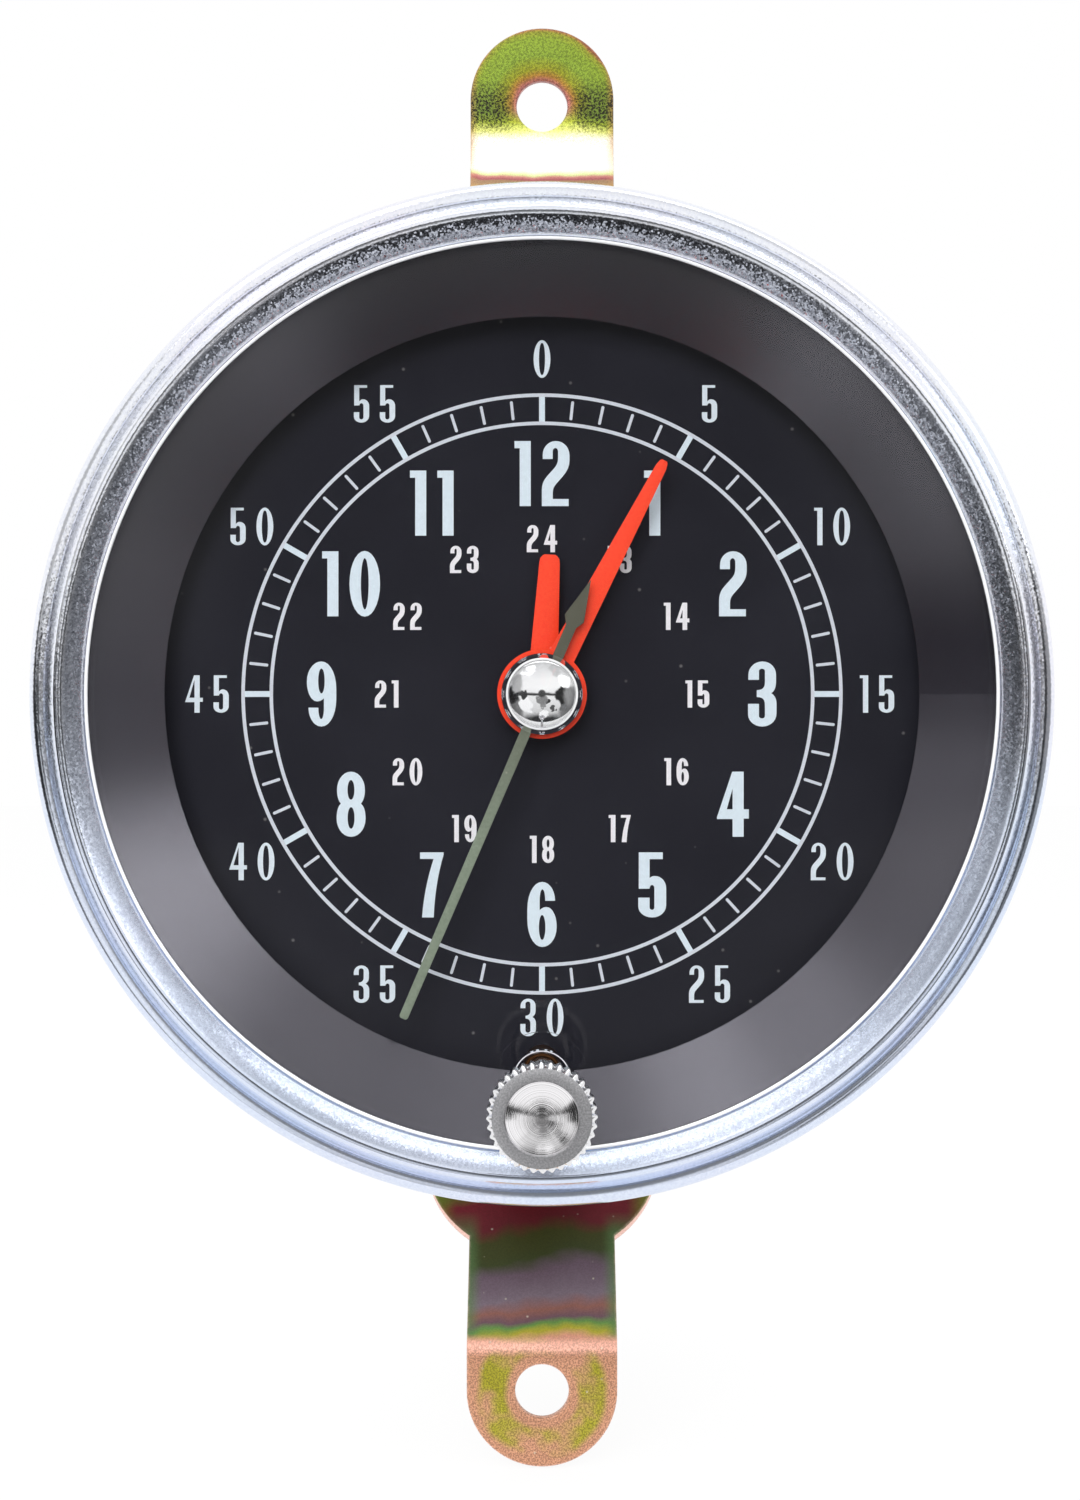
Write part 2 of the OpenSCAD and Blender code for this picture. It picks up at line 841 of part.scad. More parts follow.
// stator: closed iron frame with the rotor hole in one side and the coil on the other
module motor_stator() {
  color("slategray")
    on_axis()
      at(rotor_pos, stator_f)
        rotate([0, 0, motor_turn])
          linear_extrude(stator_t)
            difference() {
              translate([-stator_w / 2, -stator_half])
                square([stator_w / 2 + coil_off + core_w / 2, 2 * stator_half]);
              translate([stator_w / 2, -stator_half + core_w])
                square([coil_off - core_w / 2 - stator_w / 2, 2 * (stator_half - core_w)]);
              circle(r = stator_hole_r);
            }
}

module motor_coil() {
  slot = 0.02;
  color("sienna")
    on_axis()
      at(rotor_pos, stator_f + stator_t / 2)
        rotate([0, 0, motor_turn])
          translate([coil_off, 0, 0])
            difference() {
              rotate([90, 0, 0])
                cylinder(r = coil_r, h = 2 * coil_half, center = true);
              cube([core_w + slot, big, stator_t + slot], center = true);
            }
}

module stator_posts() {
  color("silver")
    on_axis()
      at(rotor_pos, plate2_front)
        rotate([0, 0, motor_turn])
          for (s = [-1, 1])
            translate([stator_post[0], s * stator_post[1], 0])
              cylinder(r = stator_post_r, h = stator_f - plate2_front);
}

module pivot_hole(pos, r, f) {
  at(pos, f - 1)
    cylinder(r = r + run, h = plate_t + 2);
}

// front plate with a tongue that carries the stem
module front_plate() {
  color("goldenrod")
    on_axis()
      difference() {
        union() {
          at([0, 0], plate1_back)
            cylinder(r = plate_r, h = plate_t);
          at([-tongue_r, stem_z], plate1_back)
            cube([2 * tongue_r, plate_r, plate_t]);
          at([0, stem_z], plate1_back)
            cylinder(r = tongue_r, h = plate_t);
        }
        pivot_hole([0, 0], pipe_r, plate1_back);
        pivot_hole(third_pos, pivot_r, plate1_back);
        pivot_hole(inter_pos, pivot_r, plate1_back);
        pivot_hole(rotor_pos, pivot_r, plate1_back);
        pivot_hole([0, stem_z], stem_r, plate1_back);
        pivot_hole([0, minute_z], stud_post_r - run, plate1_back);
        pivot_hole([0, set_z], stud_post_r - run, plate1_back);
        for (a = pillar_angles)
          pivot_hole(pillar_ring * [cos(a), sin(a)], stud_r, plate1_back);
      }
}

module back_plate() {
  color("goldenrod")
    on_axis()
      difference() {
        at([0, 0], plate2_back)
          cylinder(r = plate_r, h = plate_t);
        pivot_hole([0, 0], pivot_r, plate2_back);
        pivot_hole(third_pos, pivot_r, plate2_back);
        pivot_hole(inter_pos, pivot_r, plate2_back);
        pivot_hole(rotor_pos, pivot_r, plate2_back);
        for (a = pillar_angles)
          pivot_hole(pillar_ring * [cos(a), sin(a)], stud_r, plate2_back);
      }
}

// pillars between the plates, each with a rear stud through spacer and board into a case post
module plate_pillars() {
  color("silver")
    on_axis()
      for (a = pillar_angles)
        at(pillar_ring * [cos(a), sin(a)], 0)
          difference() {
            union() {
              translate([0, 0, plate2_front])
                cylinder(r = pillar_r, h = train_gap);
              translate([0, 0, board_back - stud_in])
                cylinder(r = stud_r, h = plate2_front - board_back + stud_in + eps);
            }
            translate([0, 0, plate1_back - screw_shank])
              cylinder(r = stud_r, h = big);
          }
}

module plate_screws() {
  color("silver")
    on_axis()
      for (a = pillar_angles)
        at(pillar_ring * [cos(a), sin(a)], 0) {
          translate([0, 0, plate1_back - screw_shank + 0.2])
            cylinder(r = stud_r, h = screw_shank + plate_t);
          difference() {
            translate([0, 0, plate1_front])
              cylinder(r = screw_head_r, h = screw_head_t);
            translate([-big / 2, -0.25, plate1_front + screw_head_t * 0.5])
              cube([big, 0.5, screw_head_t]);
          }
        }
}

module board_spacers() {
  color("silver")
    on_axis()
      for (a = pillar_angles)
        at(pillar_ring * [cos(a), sin(a)], board_front)
          ring(post_r, stud_r + run, board_gap);
}

module circuit_board() {
  color("seagreen")
    on_axis()
      difference() {
        at([0, 0], board_back)
          cylinder(r = plate_r, h = board_t);
        for (a = pillar_angles)
          at(pillar_ring * [cos(a), sin(a)], board_back - 1)
            cylinder(r = stud_r + run, h = board_t + 2);
      }
}

module quartz_crystal() {
  can_h = min(3.6, back_gap - 2);
  color("silver")
    on_axis()
      at([11, 9], board_back - can_h)
        linear_extrude(can_h)
          union() {
            square([6.4, 4.4], center = true);
            for (s = [-1, 1])
              translate([s * 3.2, 0])
                circle(r = 2.2);
          }
}

module timing_chip() {
  color("black")
    on_axis()
      at([6, -8], board_back - 1.8)
        cube([8, 6, 1.8]);
}

module filter_capacitor() {
  cap_h = min(7.4, back_gap - 2);
  color("navy")
    on_axis()
      at([-14, -8], board_back - cap_h)
        cylinder(r = 4, h = cap_h);
}

module case_posts() {
  color("silver")
    on_axis()
      for (a = pillar_angles)
        at(pillar_ring * [cos(a), sin(a)], back_in)
          difference() {
            cylinder(r = post_r, h = back_gap);
            translate([0, 0, back_gap - stud_in - 0.2])
              cylinder(r = stud_r, h = big);
            translate([0, 0, -1])
              cylinder(r = stud_r, h = case_screw_len + 0.6);
          }
}

module case_screws() {
  slot_w = 0.8;
  color("silver")
    on_axis()
      for (a = pillar_angles)
        at(pillar_ring * [cos(a), sin(a)], -case_depth) {
          cylinder(r = stud_r, h = can_sheet + case_screw_len - 1.6);
          difference() {
            translate([0, 0, -case_screw_head_t])
              cylinder(r1 = case_screw_head_r - 0.6, r2 = case_screw_head_r,
                h = case_screw_head_t);
            translate([-big / 2, -slot_w / 2, -case_screw_head_t - 1])
              cube([big, slot_w, 1 + case_screw_head_t / 2]);
          }
        }
}

// solid of the can, shrunk by s for the inside
module can_solid(s) {
  k = s * tan(22.5);
  difference() {
    on_axis()
      rotate_extrude($fn = 128)
        polygon([[0, flange_rear + big * (s > 0 ? 1 : 0)],
          [can_r - s, flange_rear + big * (s > 0 ? 1 : 0)], [can_r - s, -shoulder_y + k],
          [back_r - k, s - case_depth], [0, s - case_depth]]);
    translate([-big / 2, upper_pad_y0 - 0.5 - s, upper_flat_z - s])
      cube([big, upper_tab_y, big]);
    translate([0, shoulder_y, shoulder_y - lower_sum - s * sqrt(2)])
      rotate([45, 0, 0])
        translate([-big / 2, -big / 4, -big])
          cube([big, big, big]);
  }
}

// drawn can: front flange, cylinder with a flat on top, cone with a flat below, flat back
module case_can() {
  color("lightgray")
    difference() {
      union() {
        can_solid(0);
        on_axis()
          at([0, 0], flange_rear)
            cylinder(r = flange_r, h = can_sheet, $fn = 128);
      }
      can_solid(can_sheet);
      on_axis() {
        for (a = pillar_angles)
          at(pillar_ring * [cos(a), sin(a)], -case_depth - 1)
            cylinder(r = stud_r + run, h = can_sheet + 2);
        at(term_pos, -case_depth - 1)
          cylinder(r = insul_neck_r + run, h = can_sheet + 2);
      }
      rivet_places()
        translate([0, 0, -big / 20])
          cylinder(r = rivet_r + run, h = big / 10);
    }
}

// puts children at each rivet: outward is +Z and 0 is the outside of the can
module rivet_places() {
  for (s = [-1, 1]) {
    translate([s * upper_rivet_x, upper_rivet_y, upper_flat_z])
      children();
    translate([s * lower_rivet_x, pad_y + lower_rivet_up * cos(45), pad_z + lower_rivet_up * cos(45)])
      rotate([-135, 0, 0])
        children();
  }
}

// upper bracket: pad on the can's top flat, wide bend, upright tab with a round end
module top_bracket() {
  c = [upper_straight_y, upper_pad_top + upper_bend_r];
  tab_top = upper_hole_z + upper_end_up + strap_w / 2;
  color("olivedrab")
    difference() {
      union() {
        translate([-upper_pad_w / 2, upper_pad_y0, upper_flat_z])
          cube([upper_pad_w, upper_straight_y - upper_pad_y0, bracket_sheet]);
        intersection() {
          side_profile(strap_w)
            polygon(concat(
              [[upper_straight_y - 2, upper_flat_z], [upper_straight_y - 2, upper_pad_top]],
              arc(c, upper_bend_r, -90, 0, 12),
              [[upper_tab_y, tab_top], [upper_tab_y + bracket_sheet, tab_top]],
              arc(c, upper_bend_r + bracket_sheet, 0, -90, 12)));
          front_outline()
            union() {
              translate([0, upper_hole_z + upper_end_up])
                circle(r = strap_w / 2);
              translate([-strap_w / 2, 0])
                square([strap_w, upper_hole_z + upper_end_up]);
            }
        }
      }
      on_axis()
        at([0, upper_hole_z], -big)
          cylinder(r = tab_hole_d / 2, h = 2 * big);
      rivet_places()
        translate([0, 0, -big / 20])
          cylinder(r = rivet_r + run, h = big / 10);
    }
}

// lower bracket: round pad on the can's lower flat, arm forward and down, upright tab
module bottom_bracket() {
  outer_r = lower_bend_r + bracket_sheet;
  cy = lower_tab_y + outer_r;
  c = [cy, cy - lower_sum - outer_r * sqrt(2)];
  tab_end = lower_hole_z - strap_w / 2;
  d = bracket_sheet * cos(45);
  color("olivedrab")
    difference() {
      union() {
        translate([0, pad_y, pad_z])
          rotate([-135, 0, 0])
            cylinder(r = lower_pad_r, h = bracket_sheet);
        intersection() {
          side_profile(strap_w)
            polygon(concat(
              [[pad_y, pad_z]],
              arc(c, outer_r, 135, 180, 5),
              [[lower_tab_y, tab_end], [lower_tab_y + bracket_sheet, tab_end]],
              arc(c, lower_bend_r, 180, 135, 5),
              [[pad_y + d, pad_z - d]]));
          front_outline()
            union() {
              translate([0, lower_hole_z])
                circle(r = strap_w / 2);
              translate([-strap_w / 2, lower_hole_z])
                square([strap_w, big / 2]);
            }
        }
      }
      on_axis()
        at([0, lower_hole_z], -big)
          cylinder(r = tab_hole_d / 2, h = 2 * big);
      rivet_places()
        translate([0, 0, -big / 20])
          cylinder(r = rivet_r + run, h = big / 10);
    }
}

module bracket_rivets() {
  color("silver")
    rivet_places() {
      translate([0, 0, -can_sheet - rivet_tail_t])
        cylinder(r = rivet_r, h = can_sheet + bracket_sheet + rivet_tail_t + rivet_head_t);
      translate([0, 0, bracket_sheet])
        cylinder(r1 = rivet_head_r, r2 = rivet_head_r - 0.6, h = rivet_head_t);
      translate([0, 0, -can_sheet - rivet_tail_t])
        cylinder(r = rivet_tail_r, h = rivet_tail_t);
    }
}

module power_terminal() {
  tip = case_depth + blade_out;
  color("goldenrod")
    on_axis()
      at(term_pos, -tip)
        translate([-blade_w / 2, -blade_t / 2, 0])
          cube([blade_w, blade_t, tip + board_back]);
}

module terminal_insulator() {
  color("ivory")
    on_axis()
      at(term_pos, 0)
        difference() {
          union() {
            translate([0, 0, -case_depth - insul_t])
              cylinder(r = insul_r, h = insul_t);
            translate([0, 0, -case_depth - eps])
              cylinder(r = insul_neck_r, h = can_sheet + 2 * eps);
            translate([0, 0, back_in])
              cylinder(r = insul_r, h = insul_t);
          }
          translate([-blade_w / 2, -blade_t / 2, -big])
            cube([blade_w, blade_t, 2 * big]);
        }
}

bezel_ring();
lens();
lens_gasket();
dial_shroud();
dial_plate();
dial_posts();
hour_hand();
minute_hand();
second_hand();
centre_cap();
hour_wheel();
cannon_pinion();
minute_wheel();
minute_post();
setting_wheel();
setting_post();
set_stem();
stem_clip();
set_knob();
stem_bush();
second_wheel();
third_wheel();
centre_wheel();
intermediate_wheel();
motor_rotor();
motor_stator();
motor_coil();
stator_posts();
front_plate();
back_plate();
plate_pillars();
plate_screws();
board_spacers();
circuit_board();
quartz_crystal();
timing_chip();
filter_capacitor();
case_posts();
case_can();
case_screws();
top_bracket();
bottom_bracket();
bracket_rivets();
power_terminal();
terminal_insulator();
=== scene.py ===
import json
import math
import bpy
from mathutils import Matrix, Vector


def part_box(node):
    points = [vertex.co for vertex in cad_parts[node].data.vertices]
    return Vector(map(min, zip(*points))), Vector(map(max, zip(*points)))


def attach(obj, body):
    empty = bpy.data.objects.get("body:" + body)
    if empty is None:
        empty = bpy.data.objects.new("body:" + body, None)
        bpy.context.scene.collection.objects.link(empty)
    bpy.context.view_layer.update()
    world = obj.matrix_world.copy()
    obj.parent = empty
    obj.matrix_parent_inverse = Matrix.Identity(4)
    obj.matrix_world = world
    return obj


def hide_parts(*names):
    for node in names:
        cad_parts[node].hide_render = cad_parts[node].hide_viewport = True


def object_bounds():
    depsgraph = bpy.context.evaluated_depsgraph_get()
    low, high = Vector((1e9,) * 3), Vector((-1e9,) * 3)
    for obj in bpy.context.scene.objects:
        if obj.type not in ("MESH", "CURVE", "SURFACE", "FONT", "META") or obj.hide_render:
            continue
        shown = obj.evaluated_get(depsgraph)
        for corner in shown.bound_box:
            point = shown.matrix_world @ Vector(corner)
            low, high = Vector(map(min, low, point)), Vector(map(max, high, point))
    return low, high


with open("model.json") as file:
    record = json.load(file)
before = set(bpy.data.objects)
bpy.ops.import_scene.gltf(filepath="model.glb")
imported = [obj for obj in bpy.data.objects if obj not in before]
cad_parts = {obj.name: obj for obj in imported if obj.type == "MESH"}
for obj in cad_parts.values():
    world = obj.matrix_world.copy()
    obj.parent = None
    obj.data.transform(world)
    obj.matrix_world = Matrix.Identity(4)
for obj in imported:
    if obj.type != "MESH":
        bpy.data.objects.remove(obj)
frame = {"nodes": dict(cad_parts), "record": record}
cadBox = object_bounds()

from types import SimpleNamespace

import bpy
import mathutils

mm = 0.001
hairline = 0.0001  # mm, points nearer than this are one
clockAxis = (0, 1, 0)  # hands turn about Y, the dial faces -Y
slotOf = {part["node"]: part["material_slot"] for part in frame["record"]["subparts"]}
print("frame:", len(frame["nodes"]), "nodes")


# modelling helpers

def editMode():
    bpy.ops.object.mode_set(mode="EDIT")


def objectMode():
    bpy.ops.object.mode_set(mode="OBJECT")


def camel(label):
    first, second = label.split("_")
    return first + second.title()


def addToScene(piece):
    bpy.context.scene.collection.objects.link(piece)


def freshStart():
    if bpy.context.mode != "OBJECT":
        objectMode()
    bpy.ops.object.select_all(action="DESELECT")


def pick(*pieces):
    # selects them all, the first one active
    freshStart()
    for piece in pieces:
        piece.select_set(True)
    bpy.context.view_layer.objects.active = pieces[0]


def closeMesh(reach=0.002):
    editMode()
    bpy.ops.mesh.select_all(action="SELECT")
    bpy.ops.mesh.remove_doubles(threshold=reach * mm)
    bpy.ops.mesh.normals_make_consistent(inside=False)
    objectMode()


def roundCorner(r, f, radius, start, end, count=6):
    # points of an arc in a profile, angles from outwards towards the viewer
    turns = [math.radians(start + (end - start) * k / count) for k in range(count + 1)]
    return [(r + radius * math.cos(a), f + radius * math.sin(a)) for a in turns]


def singleVertex(name):
    freshStart()
    bpy.ops.mesh.primitive_plane_add(size=mm)
    piece = bpy.context.object
    piece.name = piece.data.name = name
    editMode()
    bpy.ops.mesh.merge(type="CENTER")
    return piece


def drawChain(points):
    # pulls the lone vertex from point to point
    here = (0, 0, 0)
    for k, point in enumerate(points):
        step = [(b - a) * mm for a, b in zip(here, point)]
        if k == 0:
            bpy.ops.transform.translate(value=step)
        else:
            bpy.ops.mesh.extrude_vertices_move(TRANSFORM_OT_translate={"value": step})
        here = point


def turnPiece(name, profile, centreZ=0.0, steps=192):
    # profile: radius and distance in front of the bezel's rear edge
    piece = singleVertex(name)
    drawChain([(r, -f, centreZ) for r, f in profile])
    bpy.ops.mesh.select_all(action="SELECT")
    bpy.ops.mesh.spin(steps=steps, angle=math.tau, center=(0, 0, centreZ * mm), axis=clockAxis)
    closeMesh()
    return piece


def washer(inner, outer, rear, front):
    return [(inner, rear), (outer, rear), (outer, front), (inner, front), (inner, rear)]


def cutSheet(name, outline, front, thick):
    # flat outline in x and z, its front face at that distance, thickness to the back
    piece = singleVertex(name)
    drawChain([(x, -front, z) for x, z in outline])
    bpy.ops.mesh.select_all(action="SELECT")
    bpy.ops.mesh.edge_face_add()
    bpy.ops.mesh.extrude_region_move(TRANSFORM_OT_translate={"value": (0, thick * mm, 0)})
    closeMesh()
    return piece


def chooseEdges(piece, wanted):
    objectMode()
    mesh = piece.data
    for part in (mesh.vertices, mesh.edges, mesh.polygons):
        part.foreach_set("select", [False] * len(part))
    for edge in mesh.edges:
        a, b = (mesh.vertices[k].co for k in edge.vertices)
        edge.select = wanted(a, b)
    editMode()


def modify(piece, kind, **settings):
    pick(piece)
    modifier = piece.modifiers.new(kind, kind)
    for key, value in settings.items():
        setattr(modifier, key, value)
    bpy.ops.object.modifier_apply(modifier=modifier.name)


def softEdges(piece, width, segments=2, angle=35):
    modify(piece, "BEVEL", width=width * mm, segments=segments, limit_method="ANGLE",
           angle_limit=math.radians(angle), use_clamp_overlap=False)


def joinSolids(piece, other):
    modify(piece, "BOOLEAN", operation="UNION", solver="EXACT", object=other)
    bpy.data.objects.remove(other, do_unlink=True)


def turnHand(piece, degrees):
    # clockwise as the dial is read
    pick(piece)
    piece.rotation_euler = (0, math.radians(degrees), 0)
    bpy.ops.object.transform_apply(rotation=True)


def softCopy(node, width, segments):
    # a CAD node's own shape, welded and with its cut edges broken
    piece = bpy.data.objects.new(camel(node), frame["nodes"][node].data.copy())
    piece.data.name = piece.name
    addToScene(piece)
    pick(piece)
    editMode()
    bpy.ops.mesh.select_all(action="SELECT")
    bpy.ops.mesh.customdata_custom_splitnormals_clear()
    bpy.ops.mesh.remove_doubles(threshold=weld * mm)
    bpy.ops.mesh.dissolve_degenerate(threshold=weld * mm)
    bpy.ops.mesh.normals_make_consistent(inside=False)
    bpy.ops.mesh.dissolve_limited(angle_limit=math.radians(flat))
    objectMode()
    softEdges(piece, width, segments)
    return piece


def place(piece, body, finish=None, node=None, sharp=32):
    # a piece drawn over a CAD node takes that node's slot, and its finish if none is given
    pick(piece)
    bpy.ops.object.shade_smooth_by_angle(angle=math.radians(sharp))
    piece.data.materials.clear()
    piece.data.materials.append(finish or finishes[slotOf[node]])
    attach(piece, body)
    if node:
        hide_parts(node)


# material helpers

def tone(colour, share=1):
    # three numbers are a colour as a picture editor gives it, 0 to 255
    if not isinstance(colour, tuple) or len(colour) != 3:
        return colour

    def line(v):
        v /= 255
        return v / 12.92 if v <= 0.04045 else ((v + 0.055) / 1.055) ** 2.4
    return (*(share * line(v) for v in colour), 1)


drawing = {}  # holds the node tree that is being drawn


def addNode(kind, **settings):
    node = drawing["tree"].nodes.new("ShaderNode" + kind)
    for key, value in settings.items():
        setattr(node, key, value)
    return node


def feed(socket, value):
    if isinstance(value, bpy.types.NodeSocket):
        drawing["tree"].links.new(value, socket)
    else:
        socket.default_value = value


def calc(operation, a, b=0.0, clamp=False):
    node = addNode("Math", operation=operation, use_clamp=clamp)
    feed(node.inputs[0], a)
    feed(node.inputs[1], b)
    return node.outputs[0]


def times(a, b):
    return calc("MULTIPLY", a, b)


def vectors(operation, *values):
    # inputs in order, None for one that the operation leaves out
    node = addNode("VectorMath", operation=operation)
    for socket, value in zip(node.inputs, values):
        if value is not None:
            feed(socket, value)
    return node.outputs["Value" if operation == "DOT_PRODUCT" else "Vector"]


def spread(value, low, high, newLow=0.0, newHigh=1.0, smooth=False):
    shape = "SMOOTHSTEP" if smooth else "LINEAR"
    node = addNode("MapRange", interpolation_type=shape)
    for k, v in enumerate((value, low, high, newLow, newHigh)):
        feed(node.inputs[k], v)
    return node.outputs[0]


def acrossMm(value, low, high, newLow=0.0, newHigh=1.0, smooth=False):
    return spread(value, low * mm, high * mm, newLow, newHigh, smooth)


def band(value, rise, fall, smooth=False):
    # 1 between a rise and a fall, in mm
    up = acrossMm(value, *rise, smooth=smooth)
    return times(up, acrossMm(value, *fall, smooth=smooth))


def blend(factor, a, b, how="MIX"):
    node = addNode("Mix", data_type="RGBA", blend_type=how)
    for socket, v in zip((node.inputs[0], node.inputs[6], node.inputs[7]), (factor, a, b)):
        feed(socket, tone(v))
    return node.outputs[2]


def bands(value, stops):
    # each stop has a place and a colour
    node = addNode("ValToRGB")
    marks = node.color_ramp.elements
    while len(marks) < len(stops):
        marks.new(0.5)
    for mark, (where, colour) in zip(marks, stops):
        mark.position = where
        mark.color = tone(colour)
    feed(node.inputs[0], value)
    return node.outputs[0]


def objectPlace():
    return addNode("TexCoord").outputs["Object"]


def trueNormal():
    return addNode("NewGeometry").outputs["Normal"]


def axes():
    split = addNode("SeparateXYZ")
    feed(split.inputs[0], objectPlace())
    return split.outputs


def radiusFrom(centreX, centreZ):
    x, _, z = axes()
    dx = calc("SUBTRACT", x, centreX)
    dz = calc("SUBTRACT", z, centreZ)
    return calc("SQRT", calc("ADD", times(dx, dx), times(dz, dz)))


def noise(scale, detail=2.0, rough=0.5, along=None):
    # in space, or along one length
    node = addNode("TexNoise", noise_dimensions="3D" if along is None else "1D")
    if along is None:
        feed(node.inputs["Vector"], objectPlace())
    else:
        feed(node.inputs["W"], along)
    for label, value in (("Scale", scale), ("Detail", detail), ("Roughness", rough)):
        feed(node.inputs[label], value)
    return node.outputs[0]


def cells(scale):
    # a cell pattern, and three random numbers for each cell
    cell = addNode("TexVoronoi", feature="F1")
    feed(cell.inputs["Vector"], objectPlace())
    feed(cell.inputs["Scale"], scale)
    split = addNode("SeparateColor")
    feed(split.inputs[0], cell.outputs["Color"])
    return cell.outputs, split.outputs


def bumped(height, strength, distance):
    node = addNode("Bump")
    feed(node.inputs["Height"], height)
    feed(node.inputs["Strength"], strength)
    feed(node.inputs["Distance"], distance * mm)
    return node.outputs["Normal"]


def newGroup(name, inputs, outputs, normals=()):
    group = drawing["tree"] = bpy.data.node_groups.new(name, "ShaderNodeTree")
    for label, value in inputs.items():
        socket = group.interface.new_socket(name=label, in_out="INPUT", socket_type="NodeSocketFloat")
        socket.default_value = value
    for label in outputs:
        group.interface.new_socket(name=label, in_out="OUTPUT", socket_type="NodeSocketFloat")
    for label in normals:
        group.interface.new_socket(name=label, in_out="OUTPUT", socket_type="NodeSocketVector")
    nodes = group.nodes
    return group, nodes.new("NodeGroupInput").outputs, nodes.new("NodeGroupOutput").inputs


def useGroup(group, **values):
    node = addNode("Group", node_tree=group)
    for label, value in values.items():
        feed(node.inputs[label], value)
    return node.outputs


def makeFineGrain():
    # crystal grain of plated or sandblasted metal: a soft mask and a height
    group, given, out = newGroup("fineGrain", {"scale": 4000, "contrast": 3}, ("mask", "height"))
    small = noise(given["scale"], 3, 0.65)
    mask = times(calc("SUBTRACT", small, 0.5), given["contrast"])
    feed(out["mask"], calc("ADD", mask, 0.5, clamp=True))
    feed(out["height"], small)
    return group


def makeSpecks():
    # scattered dots, one cell in a few filled
    group, given, out = newGroup("specks", {"scale": 900, "share": 0.2, "size": 0.25}, ("mask",))
    cell, random = cells(given["scale"])
    chosen = calc("LESS_THAN", random[0], given["share"])
    reach = calc("DIVIDE", cell["Distance"], given["size"])
    dot = calc("SUBTRACT", 1, reach, clamp=True)
    feed(out["mask"], times(chosen, dot))
    return group


def makeFacets():
    # plated crystals: every cell leans its own way and has its own shade
    group, given, out = newGroup("facets", {"scale": 5000, "lean": 0.2}, ("shade",), ("normal",))
    cell, random = cells(given["scale"])
    way = vectors("SUBTRACT", cell["Color"], (0.5, 0.5, 0.5))
    lean = vectors("SCALE", way, None, None, given["lean"])
    tilted = vectors("ADD", trueNormal(), lean)
    feed(out["normal"], vectors("NORMALIZE", tilted))
    feed(out["shade"], random[1])
    return group


def makeTurningMarks():
    # fine rings that a lathe tool leaves about an axis along Y
    inputs = {"centreX": 0, "centreZ": 0, "pitch": 8000}
    group, given, out = newGroup("turningMarks", inputs, ("mask", "height"))
    radius = radiusFrom(given["centreX"], given["centreZ"])
    rings = noise(given["pitch"], 2, 0.7, radius)
    feed(out["height"], rings)
    feed(out["mask"], spread(rings, 0.35, 0.65))
    return group


def makeEdgeWear():
    # rubbed edges: where a rounded normal leaves the true one, broken up by grain
    group, given, out = newGroup("edgeWear", {"grain": 1500}, ("mask",))
    rounded = addNode("Bevel", samples=4)
    feed(rounded.inputs["Radius"], 0.35 * mm)
    alike = vectors("DOT_PRODUCT", rounded.outputs[0], trueNormal())
    edge = spread(alike, 0.995, 0.9)
    broken = spread(noise(given["grain"]), 0.3, 0.6)
    feed(out["mask"], times(edge, broken))
    return group


fineGrain = makeFineGrain()
specks = makeSpecks()
turningMarks = makeTurningMarks()
edgeWear = makeEdgeWear()
facets = makeFacets()


def grained(scale, contrast=2):
    return useGroup(fineGrain, scale=scale, contrast=contrast)


def newFinish(name, roughness=0.5, metallic=0.0, specular=0.5):
    finish = bpy.data.materials.new(name)
    finish.use_nodes = True
    drawing["tree"] = finish.node_tree
    surface = finish.node_tree.nodes["Principled BSDF"].inputs
    feed(surface["Roughness"], roughness)
    feed(surface["Metallic"], metallic)
    feed(surface["Specular IOR Level"], specular)
    return finish, surface


def dress(surface, colour, rough=None, normal=None):
    for label, value in (("Base Color", colour), ("Roughness", rough), ("Normal", normal)):
        if value is not None:
            feed(surface[label], value)


def twoLooks(finish, factor, first, second):
    mix = addNode("MixShader")
    for socket, value in zip(mix.inputs, (factor, first, second)):
        feed(socket, value)
    feed(finish.node_tree.nodes["Material Output"].inputs["Surface"], mix.outputs[0])


def grainyMetal(name, light, dark, roughness, grainScale, bump, contrast=3, wear=None):
    finish, surface = newFinish(name, roughness, 1)
    grain = grained(grainScale, contrast)
    colour = blend(grain["mask"], dark, light)
    if wear:
        colour = blend(useGroup(edgeWear)["mask"], colour, wear)
    rough = spread(noise(120, 3), 0.3, 0.7, roughness * 0.8, roughness * 1.25)
    dress(surface, colour, rough, bumped(grain["height"], bump, 0.05))
    return finish


def turnedMetal(name, light, dark, roughness, centre=(0, 0), pitch=9000, bump=0.3):
    finish, surface = newFinish(name, roughness, 1)
    marks = useGroup(turningMarks, centreX=centre[0] * mm, centreZ=centre[1] * mm, pitch=pitch)
    rough = spread(marks["mask"], 0, 1, roughness * 1.2, roughness * 0.8)
    dress(surface, blend(marks["mask"], dark, light), rough, bumped(marks["height"], bump, 0.03))
    return finish


def mouldedPlastic(name, colour, roughness, grainScale=2500, bump=0.1, specular=0.5, ior=1.5,
                   tint=(1, 1, 1, 1)):
    finish, surface = newFinish(name, roughness, 0, specular)
    feed(surface["IOR"], ior)
    feed(surface["Specular Tint"], tint)
    grain = grained(grainScale)
    colour = blend(grain["mask"], tone(colour, 0.75), colour)
    rough = spread(grain["mask"], 0, 1, roughness * 1.1, roughness * 0.9)
    dress(surface, colour, rough, bumped(grain["height"], bump, 0.04))
    return finish


# finishes

